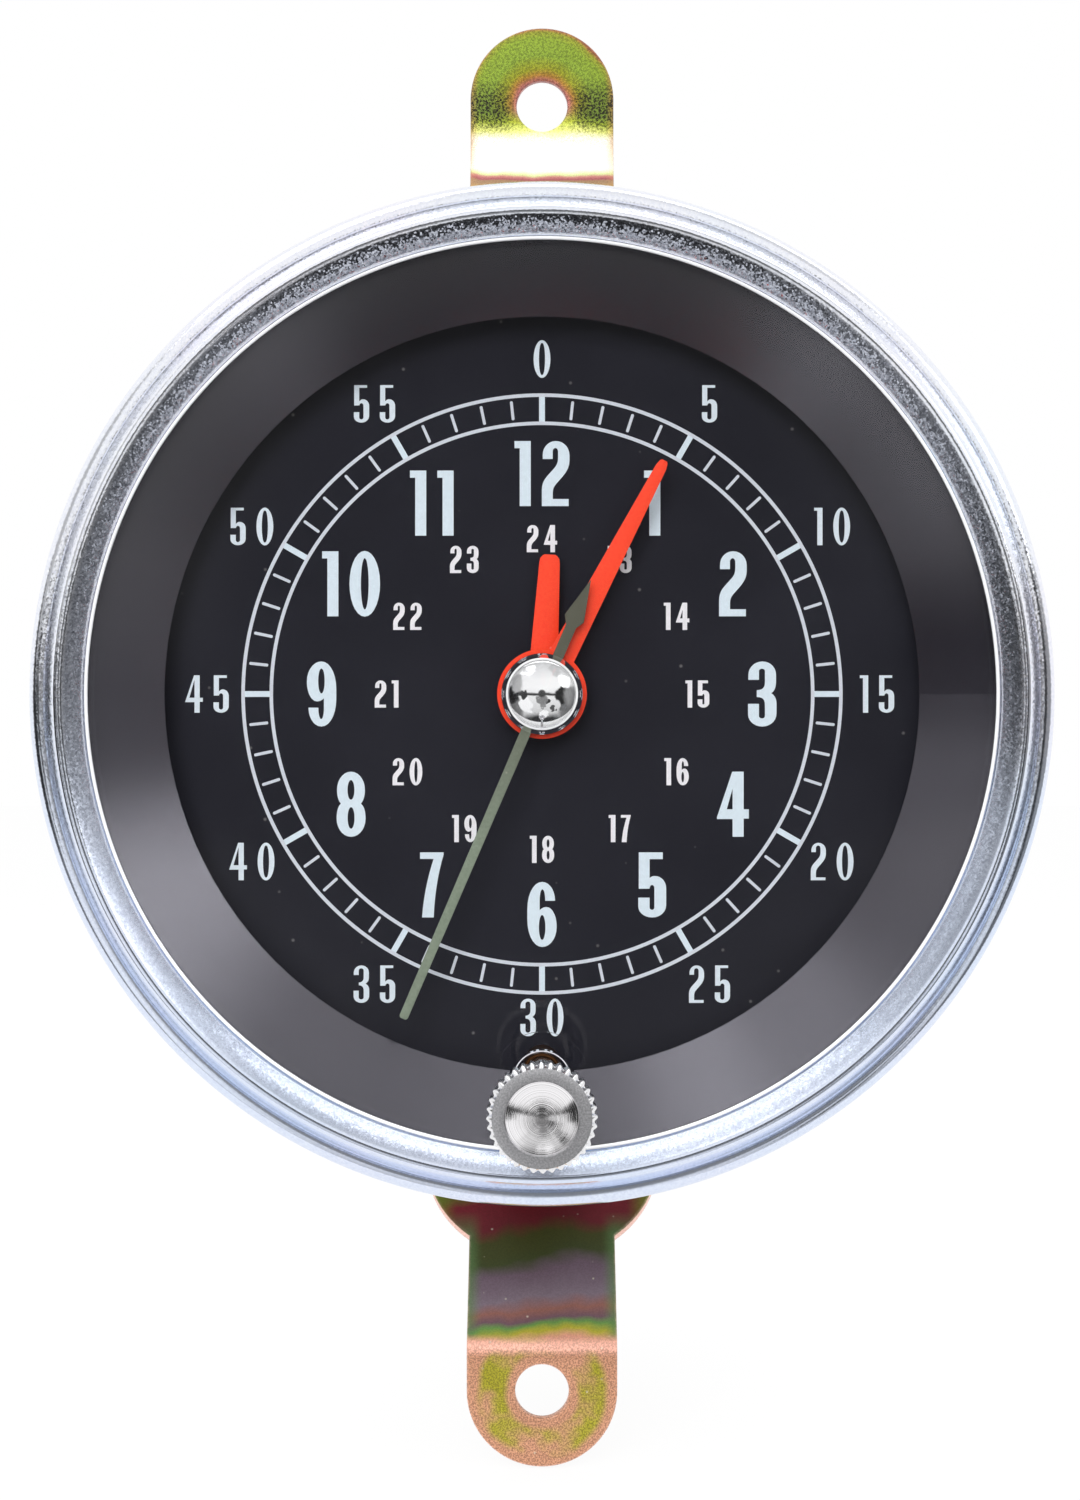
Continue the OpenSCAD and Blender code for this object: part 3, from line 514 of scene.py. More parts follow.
def bezelPlate():
    finish, surface = newFinish("bezelPlate", 0.24, 1)
    zone = {"slopeIn": (45.3, 45.5), "slopeOut": (47.2, 46.8), "lip": (45.16, 45.1),
            "upper": (-24, 12), "satin": (18, 38)}
    radius = radiusFrom(0.0, 0.0)
    z = axes()[2]
    slope = band(radius, zone["slopeIn"], zone["slopeOut"])
    upper = acrossMm(z, *zone["upper"], 0.25, 1, True)  # the grain and a painted shade both show most at the top
    lean = times(spread(slope, 0, 1, 0.07, 0.23), upper)
    crystals = useGroup(facets, scale=5600, lean=lean)
    grain = grained(2600, 3)
    hues = [(0.35, (240, 247, 255)), (0.5, (249, 251, 255)), (0.68, (252, 249, 255))]
    hue = bands(noise(60, 2), hues)
    shade = calc("ADD", times(crystals["shade"], 0.5), times(grain["mask"], 0.5))
    plate = blend(shade, (234, 237, 248), hue)
    # painted shade: the inner slope gets a dark speckle over its coarse grain, heaviest at the top
    # where it faces down
    slopeGrainAndShade = blend(shade, (72, 76, 90), (208, 213, 226))
    strength = times(slope, spread(upper, 0.25, 1, 0.4, 0.9))
    plate = blend(strength, plate, slopeGrainAndShade)
    # painted shade: the lower half is darkened a little and tinted pale blue
    plate = blend(spread(upper, 0.25, 1, 1, 0), plate, (236, 242, 252), "MULTIPLY")
    lip = acrossMm(radius, *zone["lip"])  # painted highlight: the rolled lip is made white and almost non-metallic, so it shows as a bright line all round
    plate = blend(lip, plate, (244, 245, 248))
    feed(surface["Metallic"], spread(lip, 0, 1, 1, 0.15))
    satin = times(slope, acrossMm(z, *zone["satin"], 0.12, 0.0))
    rough = calc("ADD", spread(shade, 0, 1, 0.2, 0.1), satin)
    dress(surface, plate, rough, crystals["normal"])
    return finish


def lensClear():
    finish, surface = newFinish("lensClear", 0.015)
    feed(surface["Transmission Weight"], 1)
    feed(surface["IOR"], 1.25)  # a bloomed lens mirrors little
    feed(surface["Base Color"], (0.995, 0.998, 1, 1))
    feed(surface["Roughness"], spread(noise(40, 3), 0.4, 0.8, 0.0, 0.015))
    shadow = addNode("LightPath").outputs["Is Shadow Ray"]
    clear = finish.node_tree.nodes["Principled BSDF"].outputs[0]
    through = addNode("BsdfTransparent").outputs[0]
    twoLooks(finish, shadow, clear, through)  # light passes straight to the dial
    return finish


def dialBlack():
    finish, surface = newFinish("dialBlack", 0.6, 0, 0.25)
    dust = useGroup(specks, scale=700, share=0.06, size=0.16)
    base = bands(noise(70, 4), [(0.3, (24, 24, 32)), (0.7, (31, 31, 39))])
    colour = blend(dust["mask"], base, (120, 118, 118))
    grain = grained(5000)
    rough = spread(grain["mask"], 0, 1, 0.7, 0.55)
    dress(surface, colour, rough, bumped(grain["height"], 0.08, 0.03))
    return finish


def dialInk(name, colour):
    finish, surface = newFinish(name, 0.55, 0, 0.3)
    grain = grained(2600)
    colour = blend(grain["mask"], tone(colour, 0.9), colour)
    dress(surface, colour, normal=bumped(grain["height"], 0.05, 0.02))
    return finish


def handPaint(name, colour, shade, roughness=0.4, tail=None):
    finish, surface = newFinish(name, roughness, 0, 0.4)
    grain = grained(3500)
    dust = useGroup(specks, scale=1100, share=0.1, size=0.2)
    paint = blend(grain["mask"], shade, colour)
    # painted shade: the hand darkens from the long end towards the hub and is darkest over the tail
    if tail:  # up at rest
        paint = blend(acrossMm(axes()[2], -16, 4), paint, tail)
    paint = blend(times(dust["mask"], 0.4), paint, (230, 215, 205))
    rough = spread(grain["mask"], 0, 1, roughness * 1.15, roughness * 0.9)
    dress(surface, paint, rough, bumped(grain["height"], 0.08, 0.03))
    return finish


def capChrome():
    finish, surface = newFinish("capChrome", 0.03, 1)
    cloud = noise(300, 3)
    colour = bands(cloud, [(0.3, (248, 248, 250)), (0.7, (255, 255, 255))])
    rim = band(radiusFrom(0.0, 0.0), (3.4, 3.43), (3.66, 3.63))
    feed(surface["Metallic"], spread(rim, 0, 1, 1, 0.1))  # painted highlight: a pale, almost non-metallic edge round the mirror
    dress(surface, colour, spread(cloud, 0.3, 0.75, 0.015, 0.06))
    return finish


chromateTop = {
    "hole": 64.2, "half": 8.3,
    # outwards from the screw hole, then down the bend
    "film": [(0.0, (196, 118, 112)), (0.1, (190, 138, 62)), (0.24, (158, 160, 42)),
             (0.5, (136, 162, 52)), (0.82, (138, 162, 48)), (0.94, (150, 154, 48)),
             (0.985, (168, 122, 62)), (1.0, (150, 92, 66))],
    # painted reflection in the bend: dark maroon next to the bezel where it mirrors the shaded case,
    # then a white band where it mirrors the lit top of the can, over the film's own hues
    "bend": [(0.0, (150, 120, 90)), (0.03, (156, 84, 88)), (0.07, (190, 126, 118)),
             (0.11, (212, 226, 160)), (0.18, (255, 255, 238)), (0.62, (255, 255, 236)),
             (0.74, (244, 248, 140)), (0.86, (186, 204, 56)), (1.0, (122, 156, 58))],
    # where each change begins and ends, in mm
    "bendUp": (55.9, 63.4), "toBend": (64.6, 61.6), "edgeOfHole": 2.8,
    "side": (6.9, 7.7), "sideUp": (54, 60), "foot": (55.6, 54.6),
    "beside": (2.6, 4.6), "dark": ((60.6, 63.2), (67.6, 64.6)), "pitsUp": (59.6, 62),
}
chromateLow = {
    "hole": -72.19, "down": (-53.4, -67.2), "slant": 4.0,
    "edge": (6.2, 7.9), "edgeDown": (-56, -58), "flank": (9, 12), "toTab": (-66.5, -67.1),
    "ring": ((3.4, 4.3), (7.2, 6.2)), "crease": ((-66.6, -67.4), (-68.6, -67.8)),
    "pitsDown": (-66.6, -68.4), "sawnWay": (0, -math.sqrt(0.5), math.sqrt(0.5)),
    # the arm's film hues with a painted reflection: dark maroon below the bezel where it mirrors the
    # shaded case, growing brighter downwards to the pink of the crease
    "arm": [(0.0, (112, 120, 36)), (0.08, (140, 34, 46)), (0.24, (118, 34, 42)),
            (0.33, (72, 74, 26)), (0.46, (66, 74, 34)), (0.55, (112, 92, 104)),
            (0.7, (128, 112, 122)), (0.79, (146, 96, 84)), (0.86, (112, 84, 92)),
            (0.9, (104, 146, 70)), (0.95, (178, 168, 50)), (1.0, (226, 156, 132))],
}


def filmPlace(holeZ):
    # across, up, from the screw hole, and how far the film wanders there
    x, _, z = axes()
    hole = radiusFrom(0.0, holeZ * mm)
    wander = spread(noise(190, 4), 0.25, 0.75, -0.35 * mm, 0.35 * mm)
    return x, z, calc("ADD", hole, wander), wander


def pitted(surface, colour, amount, roughness, scale, rubbed):
    # fine black pitting over the film, rubbed paler on the cut edges
    pits = grained(scale, 9)
    colour = blend(times(pits["mask"], amount), colour, (34, 30, 18))
    worn = times(useGroup(edgeWear)["mask"], rubbed)
    colour = blend(worn, colour, (240, 200, 184))
    rough = spread(pits["mask"], 0, 1, roughness, roughness * 1.5)
    dress(surface, colour, rough, bumped(pits["height"], 0.3, 0.05))


def topFilm():
    finish, surface = newFinish("topChromate", 0.3, 0.45)
    t = SimpleNamespace(**chromateTop)
    x, z, hole, wander = filmPlace(t.hole)
    away = calc("ABSOLUTE", x)
    level = calc("ADD", z, wander)
    film = bands(acrossMm(hole, t.edgeOfHole, t.half), t.film)
    # painted reflection: the bend's white band and dark edge come from this ramp
    bend = bands(acrossMm(level, *t.bendUp), t.bend)
    colour = blend(acrossMm(level, *t.toBend, smooth=True), film, bend)
    side = times(acrossMm(away, *t.side, 0, 0.6), acrossMm(z, *t.sideUp))
    colour = blend(side, colour, (206, 150, 90))
    blot = spread(noise(170, 3, 0.55), 0.38, 0.62, smooth=True)
    foot = blend(blot, (186, 158, 76), (196, 128, 104))
    colour = blend(acrossMm(z, *t.foot), colour, foot)
    # painted shade: darkest at both sides of the hole, where the pitting is also heaviest
    beside = acrossMm(away, *t.beside, smooth=True)
    dark = times(band(z, *t.dark, True), beside)
    colour = blend(times(dark, 0.45), colour, (52, 60, 34))
    amount = calc("ADD", acrossMm(z, *t.pitsUp, 0.04, 0.44), times(dark, 0.6))
    pitted(surface, colour, amount, 0.26, 3900, 0.25)
    return finish


def lowFilm():
    finish, surface = newFinish("bottomChromate", 0.3, 0.4)
    t = SimpleNamespace(**chromateLow)
    x, z, hole, _ = filmPlace(t.hole)
    away = calc("ABSOLUTE", x)
    swirl = spread(noise(90, 3, 0.6), 0.3, 0.7, -0.07, 0.07)
    along = calc("ADD", acrossMm(z, *t.down), swirl)
    # painted reflection: the ramp darkens the arm near the bezel and brightens it towards the tab
    arm = bands(calc("ADD", along, times(x, t.slant)), t.arm)
    edge = times(acrossMm(away, *t.edge, 0, 0.75, True), acrossMm(z, *t.edgeDown))
    arm = blend(edge, arm, (96, 130, 76))
    arm = blend(acrossMm(away, *t.flank, 0, 0.9, True), arm, (128, 150, 40))
    # the tab: pink film with olive patches between the hole and the rim
    ring = band(hole, *t.ring, True)
    blot = spread(noise(150, 3, 0.6), 0.38, 0.6, smooth=True)
    tab = blend(times(ring, blot), (212, 154, 122), (172, 164, 44))
    # painted highlight along the convex crease between arm and tab
    tab = blend(band(z, *t.crease), tab, (248, 186, 164))
    colour = blend(acrossMm(z, *t.toTab), arm, tab)
    facing = calc("ABSOLUTE", vectors("DOT_PRODUCT", trueNormal(), t.sawnWay))
    colour = blend(spread(facing, 0.45, 0.15), colour, (255, 206, 190))  # bare sawn edges
    dust = useGroup(specks, scale=1300, share=0.05, size=0.22)
    colour = blend(times(dust["mask"], 0.8), colour, (228, 220, 196))
    amount = acrossMm(z, *t.pitsDown, 0.14, 0.5)
    pitted(surface, colour, amount, 0.28, 5400, 0.6)
    return finish


def boardGreen():
    finish, surface = newFinish("boardGreen", 0.35)
    weave = addNode("TexBrick")
    feed(weave.inputs["Vector"], objectPlace())
    feed(weave.inputs["Scale"], 260)
    dress(surface, blend(weave.outputs["Fac"], (22, 88, 48), (34, 112, 62)))
    return finish


def coilCopper():
    finish, surface = newFinish("coilCopper", 0.3, 1)
    coilWay = (-0.566, 0.824)  # x and z along the coil
    wirePhase = 13000  # radians per metre
    x, _, z = axes()
    along = calc("ADD", times(x, coilWay[0]), times(z, coilWay[1]))
    winding = calc("SINE", times(along, wirePhase))
    wire = blend(spread(winding, -1, 1), (96, 44, 20), (178, 96, 50))
    dress(surface, wire, normal=bumped(winding, 0.4, 0.08))
    return finish


knobCentre = (0, -38)


def knobNickel():
    # satin ring and knurl, brighter turned dome in the middle
    finish, surface = newFinish("knobNickel", 0.4, 1)
    centreX, centreZ = (v * mm for v in knobCentre)
    marks = useGroup(turningMarks, centreX=centreX, centreZ=centreZ, pitch=11000)
    grain = grained(6000, 4)
    radius = radiusFrom(centreX, centreZ)
    domeEdge, rimEdge = (3.38, 3.3), (4.48, 4.54)
    inner, rim = acrossMm(radius, *domeEdge), acrossMm(radius, *rimEdge)
    satin = blend(grain["mask"], (172, 172, 175), (210, 209, 212))
    satin = blend(rim, satin, (236, 236, 238))
    turned = blend(marks["mask"], (226, 224, 226), (250, 249, 251))
    rough = calc("SUBTRACT", spread(inner, 0, 1, 0.42, 0.09), times(rim, 0.22))
    inside = times(marks["height"], inner)
    outside = times(grain["height"], calc("SUBTRACT", 1, inner))
    normal = bumped(calc("ADD", inside, outside), 0.25, 0.03)
    dress(surface, blend(inner, satin, turned), rough, normal)
    return finish


finishes = {
    "bezel_zinc": bezelPlate(),
    "lens_clear": lensClear(),
    "dial_black": dialBlack(),
    "hand_red": handPaint("handRed", (255, 80, 46), (250, 62, 36)),
    # its last colour is the painted shade of the tail end
    "hand_olive": handPaint("handOlive", (138, 150, 132), (120, 131, 114), 0.5, (86, 86, 74)),
    "cap_chrome": capChrome(),
    "knob_nickel": knobNickel(),
    "stem_steel": turnedMetal("stemSteel", (190, 190, 192), (140, 140, 144), 0.3, knobCentre),
    "bush_brass": turnedMetal("bushBrass", (112, 76, 48), (70, 46, 28), 0.4, knobCentre),
    "coil_copper": coilCopper(),
    "board_green": boardGreen(),
}
# light, dark, roughness, grain, bump, contrast, rubbed edges
grainyMetals = {
    "gear_brass": ((218, 182, 104), (190, 150, 80), 0.28, 2500, 0.1, 2),
    "plate_brass": ((208, 176, 108), (186, 150, 84), 0.34, 1800, 0.15, 2),
    "turned_steel": ((206, 206, 208), (170, 170, 174), 0.28, 2600, 0.1, 2),
    "magnet_dark": ((82, 82, 86), (54, 54, 58), 0.5, 3200, 0.25, 4),
    "stator_iron": ((150, 152, 156), (112, 114, 120), 0.42, 2200, 0.2, 3),
    "crystal_steel": ((216, 216, 218), (188, 188, 192), 0.22, 2400, 0.08, 2),
    "can_zinc": ((216, 219, 226), (176, 180, 190), 0.3, 2100, 0.2, 3, (236, 236, 238)),
    "screw_zinc": ((214, 216, 222), (168, 172, 182), 0.28, 2800, 0.15, 3),
    "blade_brass": ((222, 192, 124), (196, 164, 98), 0.3, 2300, 0.12, 2),
}
# colour, roughness, grain, bump, specular level, index, tint of the shine
plastics = {
    "gasket_rubber": ((24, 24, 24), 0.7),
    "shroud_black": ((27, 25, 32), 0.21, 3000, 0.008, 1.0, 1.83, (0.91, 0.89, 1, 1)),
    "chip_black": ((34, 34, 36), 0.55, 4000, 0.2),
    "capacitor_sleeve": ((34, 44, 92), 0.25),
    "insulator_nylon": ((226, 221, 204), 0.5, 1500, 0.08),
}
for makeFinish, looks in ((grainyMetal, grainyMetals), (mouldedPlastic, plastics)):
    for slot, look in looks.items():
        finishes[slot] = makeFinish(camel(slot), *look)
print("finishes ready")


# bezel ring

bezel = {
    "outer": 50.8, "rear": 0.0, "beadFront": 7.25, "beadRound": 1.5, "rearRound": 0.5, "sheet": 0.7,
    "groove": 49.05, "grooveDeep": 0.14, "grooveEdge": 0.1, "crimp": 48.8, "steps": 320,
    "crest": 47.45, "crestFront": 8.9, "crestRound": 0.7, "window": 44.8, "lipRound": 0.2,
    "lensFront": 6.9, "lensGap": 0.02, "notch": 0.16, "notchPoint": (0.06, 0.01), "slopeGap": 0.1,
    # the inner face, in and back from the outer one
    "underBead": 1.3, "underGroove": (0.7, 0.5), "underCrest": (0.1, 1.1), "lensSeat": 1.0,
}


def makeBezel():
    b = SimpleNamespace(**bezel)
    inside = b.outer - b.sheet
    lip = (b.window + b.lipRound, b.lensFront + b.lipRound + b.lensGap)
    # the slope starts beside the rolled lip
    foot = (lip[0] + b.lipRound + b.slopeGap, lip[1] + b.notch)
    crest = (b.crest, b.crestFront - b.crestRound)
    run, rise = crest[0] - foot[0], crest[1] - foot[1]
    lean = math.atan2(rise, run) + math.asin(b.crestRound / math.hypot(run, rise))
    profile = roundCorner(*lip, b.lipRound, 270, 10, 12)
    profile += [(foot[0] - b.notchPoint[0], lip[1] + b.notchPoint[1]), foot]
    profile += roundCorner(*crest, b.crestRound, 90 + math.degrees(lean), 24, 10)
    profile += [(b.groove - b.grooveEdge, b.beadFront + b.grooveEdge),
                (b.groove, b.beadFront - b.grooveDeep)]
    bead, edge = b.beadRound, b.rearRound
    profile += roundCorner(b.outer - bead, b.beadFront - bead, bead, 94, 0, 14)
    profile += roundCorner(b.outer - edge, b.rear + edge, edge, 0, -90, 5)
    # and back inside, one sheet thinner
    seat = b.rear + b.sheet
    profile += [(b.crimp, b.rear), (b.crimp, seat), (inside, seat),
                (inside, b.beadFront - b.underBead),
                (b.groove - b.underGroove[0], b.beadFront - b.underGroove[1]),
                (b.crest - b.underCrest[0], b.crestFront - b.underCrest[1]),
                (lip[0] + b.lensSeat, b.lensFront + b.lensGap), profile[0]]
    piece = turnPiece("bezelRing", profile, steps=b.steps)
    place(piece, "case", node="bezel_ring", sharp=40)


makeBezel()
print("bezel ready")


# dial print

dial = {
    "face": -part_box("dial_plate")[0][1] / mm,  # in front of the bezel's rear edge
    "ink": 0.03, "outerLine": 30.96, "innerLine": 27.7, "lineWidth": 0.36, "lineSteps": 240,
    "fiveTick": 0.6, "minuteTick": 0.3, "minuteFrom": 28.35, "minuteTo": 30.3, "tickSoft": 0.42,
    # ring, height, gap between digits and thinning of the strokes, both by height
    "hour": (22.7, 6.7, 0.17, 0.0), "day": (16.0, 2.8, 0.2, 0.0), "minute": (34.5, 4.0, 0.24, 0.018),
    "lowest": 33.3, "curveSteps": 7, "tickSteps": 4,
}


def oval(x, y, wide, high):
    return [("m", x - wide, y), ("v", x, y + high), ("h", x + wide, y),
            ("v", x, y - high), ("h", x - wide, y)]


def readLoop(path):
    loop = []
    for word in path.split():
        if word.isalpha():
            loop.append((word,))
        else:
            loop[-1] += (float(word),)
    return loop


def halfTurn(loop, wide):
    # the same shape upside down
    return [(kind, *(1 - v if k % 2 else wide - v for k, v in enumerate(values)))
            for kind, *values in loop]


# cap height 1: m start, l line, h curve that leaves level, v curve that leaves upright, c free curve
six = [
    readLoop(
        "m .275 .71 l .427 .71 v .227 1 h 0 .58 l 0 .42 v .227 0 h .452 .31 v .295 .614"
        " c .25 .614 .21 .59 .19 .563 l .19 .72 v .232 .886 h .275 .72"),
    oval(0.228, 0.3, 0.05, 0.192),
]
digitShapes = {
    "0": [oval(0.235, 0.5, 0.235, 0.505), oval(0.235, 0.5, 0.06, 0.395)],
    "1": [readLoop("m 0 1 l .25 1 l .25 0 l .08 0 l .08 .89 l 0 .89")],
    "2": [readLoop(
        "m .014 .724 l .014 .79 v .215 1 h .425 .78 l .425 .7 c .425 .57 .345 .485 .29 .42"
        " c .21 .33 .168 .3 .168 .2 l .168 .109 l .412 .109 l .412 0 l 0 0 l 0 .24"
        " c 0 .38 .06 .435 .13 .515 c .205 .6 .249 .63 .249 .74 l .249 .84 v .209 .892"
        " h .167 .84 l .167 .724")],
    "3": [readLoop(
        "m 0 .718 l 0 .79 v .215 1 h .425 .8 l .425 .7 c .425 .6 .405 .55 .352 .512"
        " c .405 .48 .433 .42 .433 .35 l .433 .2 v .215 0 h -.005 .19 l -.005 .349 l .163 .349"
        " l .163 .165 v .209 .125 h .255 .165 l .255 .33 c .255 .42 .22 .454 .13 .454 l .13 .559"
        " c .21 .559 .255 .59 .255 .68 l .255 .85 v .209 .889 h .163 .85 l .163 .718")],
    "4": [readLoop(
        "m .235 1 l .41 1 l .41 .422 l .49 .422 l .49 .28 l .41 .28 l .41 0 l .24 0 l .24 .272"
        " l 0 .272 l 0 .3"), readLoop("m .24 .74 l .24 .422 l .15 .422")],
    "5": [readLoop(
        "m .008 1 l .377 1 l .377 .896 l .174 .896 l .174 .605 c .2 .63 .225 .637 .255 .637"
        " h .429 .45 l .429 .19 v .215 0 h 0 .17 l 0 .304 l .174 .304 l .174 .155 v .211 .117"
        " h .247 .155 l .247 .455 v .211 .499 h .174 .442 l .008 .442")],
    "6": six,
    "7": [readLoop(
        "m 0 1 l .36 1 l .36 .96 c .285 .7 .225 .4 .21 0 l .03 0 c .055 .35 .13 .66 .209 .9"
        " l 0 .9")],
    "8": [readLoop(
        "m 0 .28 c 0 .4 .025 .47 .066 .51 c .03 .55 .006 .62 .006 .72 v .22 1 h .435 .72"
        " c .435 .62 .41 .55 .372 .51 c .42 .47 .445 .4 .445 .28 v .222 0 h 0 .28"),
        oval(0.22, 0.72, 0.053, 0.152), oval(0.222, 0.289, 0.053, 0.167)],
    "9": [halfTurn(loop, 0.452) for loop in six],
}
roundness = 0.56


def drawLoop(curve, loop, left, size):
    knots = []  # point, handle in, handle out
    for kind, *v in loop:
        end = (v[-2], v[-1])
        if kind == "m":
            knots.append([end, end, end])
            continue
        start = knots[-1][0]
        run, rise = end[0] - start[0], end[1] - start[1]
        wide, high = roundness * run, roundness * rise
        if kind == "l":
            away, back = start, end
        elif kind == "h":
            away, back = (start[0] + wide, start[1]), (end[0], end[1] - high)
        elif kind == "v":
            away, back = (start[0], start[1] + high), (end[0] - wide, end[1])
        else:
            away, back = (v[0], v[1]), (v[2], v[3])
        knots[-1][2] = away
        knots.append([end, back, end])
    if knots[-1][0] == knots[0][0]:
        knots[0][1] = knots.pop()[1]
    spline = curve.splines.new("BEZIER")
    spline.bezier_points.add(len(knots) - 1)
    spline.use_cyclic_u = True
    for point, knot in zip(spline.bezier_points, knots):
        point.handle_left_type = point.handle_right_type = "FREE"
        here, before, after = [((left + x) * size, y * size, 0) for x, y in knot]
        point.co, point.handle_left, point.handle_right = here, before, after


def drawNumeral(text, x, z, height, gap, thin):
    curve = bpy.data.curves.new("numeral" + text, "CURVE")
    curve.dimensions = "2D"
    curve.fill_mode = "BOTH"
    curve.resolution_u = dial["curveSteps"]
    curve.extrude = dial["ink"] * mm / 2
    curve.offset = -thin * height * mm
    width = 0
    for digit in text:
        for loop in digitShapes[digit]:
            drawLoop(curve, loop, width, height * mm)
        width += max(step[-2] for loop in digitShapes[digit] for step in loop) + gap
    width -= gap
    piece = bpy.data.objects.new("numeral" + text, curve)
    addToScene(piece)
    middle = -dial["face"] - dial["ink"] / 2
    piece.location = ((x - width * height / 2) * mm, middle * mm, (z - height / 2) * mm)
    piece.rotation_euler = (math.radians(90), 0, 0)
    return piece


def numeralRing(name, labels, ring, height, gap, thin, ink):
    made = []
    for k, label in enumerate(labels):
        turn = math.tau * k / len(labels)
        reach = dial["lowest"] if label == 30 else ring  # clear of the stem
        x, z = reach * math.sin(turn), reach * math.cos(turn)
        made.append(drawNumeral(str(label), x, z, height, gap, thin))
    pick(*made)
    bpy.ops.object.convert(target="MESH")
    bpy.ops.object.join()
    piece = bpy.context.object
    piece.name = piece.data.name = name
    bpy.ops.object.transform_apply(location=True, rotation=True, scale=True)
    closeMesh(hairline)
    place(piece, "case", ink)


def trackLine(name, outside, ink):
    d = SimpleNamespace(**dial)
    profile = washer(outside - d.lineWidth, outside, d.face, d.face + d.ink)
    place(turnPiece(name, profile, steps=d.lineSteps), "case", ink)


inkBlue = dialInk("inkBlue", (220, 233, 242))
inkGrey = dialInk("inkGrey", (224, 234, 242))
inkWhite = dialInk("inkWhite", (212, 217, 226))
inkBright = dialInk("inkBright", (238, 236, 240))


def ringOfTicks(name, inner, outer, width, angles, ink, soft):
    # one tick is modelled, then copied round the dial
    d = SimpleNamespace(**dial)
    freshStart()
    middle = (0, (-d.face - d.ink / 2) * mm, (inner + outer) / 2 * mm)
    bpy.ops.mesh.primitive_cube_add(size=1, location=middle)
    first = bpy.context.object
    first.name = first.data.name = name
    first.scale = (width * mm, d.ink * mm, (outer - inner) * mm)
    bpy.ops.object.transform_apply(location=True, scale=True)
    if soft:
        editMode()
        bpy.ops.mesh.select_mode(type="EDGE")
        chooseEdges(first, lambda a, b: abs(a.y - b.y) > abs(a.x - b.x) + abs(a.z - b.z))
        bpy.ops.mesh.bevel(offset=width * d.tickSoft * mm, segments=d.tickSteps)
        bpy.ops.mesh.select_mode(type="VERT")
        objectMode()
    copies = []
    for angle in angles[1:]:
        copy = first.copy()
        copy.data = first.data.copy()
        copy.rotation_euler = (0, math.radians(angle), 0)
        addToScene(copy)
        copies.append(copy)
    first.rotation_euler = (0, math.radians(angles[0]), 0)
    pick(first, *copies)
    bpy.ops.object.join()
    bpy.ops.object.transform_apply(rotation=True)
    place(first, "case", ink)


def makeDialPrint():
    d = SimpleNamespace(**dial)
    inner, outer = d.innerLine + d.lineWidth, d.outerLine - d.lineWidth
    trackLine("trackOuter", d.outerLine, inkWhite)
    trackLine("trackInner", inner, inkWhite)
    fives = [30 * k for k in range(12)]
    ringOfTicks("fiveTicks", inner, outer, d.fiveTick, fives, inkBlue, False)
    minutes = [6 * k for k in range(60) if k % 5]
    ringOfTicks("minuteTicks", d.minuteFrom, d.minuteTo, d.minuteTick, minutes, inkWhite, True)
    numeralRing("hourNumerals", [12, *range(1, 12)], *d.hour, inkBlue)
    numeralRing("dayNumerals", [24, *range(13, 24)], *d.day, inkBright)
    numeralRing("minuteNumerals", range(0, 60, 5), *d.minute, inkGrey)


makeDialPrint()
print("dial print ready")


# hands and cap

hands = {
    # front, thickness, base, tip, length, rounding of the tip in tip widths
    "hour": (-2.3, 0.55, 3.2, 2.05, 14.3, 0.3), "hourTurn": 3.3, "hourHub": (2.4, 4.0),
    "minute": (-0.7, 0.55, 3.05, 1.1, 26.8, 0.7), "minuteTurn": 27.7, "minuteBore": 1.75,
    "hubOuter": 4.56, "hubInner": 4.08, "hubRise": 0.25, "hubSoft": 0.08, "ridge": 0.16, "blunt": 0.3,
    "secondFront": 0.7, "secondThick": 0.4, "secondLength": 35.7, "secondWide": 1.1,
    "secondTurn": 203.2, "secondTip": 0.41, "tipCut": (0.15, 0.2), "secondHub": (0.6, 2.6),
    "tail": 12.6, "tailStem": (7.45, 8.3), "barb": 2.1, "soft": 0.05,
}


def ridgedBlade(name, front, thick, base, tip, length, rounding):
    # two facets that meet in a ridge along the hand
    freshStart()
    bpy.ops.mesh.primitive_grid_add(x_subdivisions=2, y_subdivisions=12, size=1)
    piece = bpy.context.object
    piece.name = piece.data.name = name
    nose = rounding * tip
    for v in piece.data.vertices:
        u, share = 2 * v.co.x, v.co.y + 0.5
        share = 1 - (1 - share) ** 2  # rows crowd towards the tip
        wide = base + (tip - base) * share
        left = (1 - share) * length
        if left < nose:
            wide *= math.sqrt(1 - (1 - left / nose) ** 2 * (1 - hands["blunt"]))
        v.co = (u * wide / 2 * mm, (-front - (1 - abs(u)) * hands["ridge"]) * mm, share * length * mm)
    modify(piece, "SOLIDIFY", thickness=thick * mm, offset=-1)
    closeMesh(hairline)
    if sum(p.normal.y * p.area for p in piece.data.polygons if p.center.y < -front * mm) > 0:
        editMode()
        bpy.ops.mesh.select_all(action="SELECT")
        bpy.ops.mesh.flip_normals()
        objectMode()
    return piece


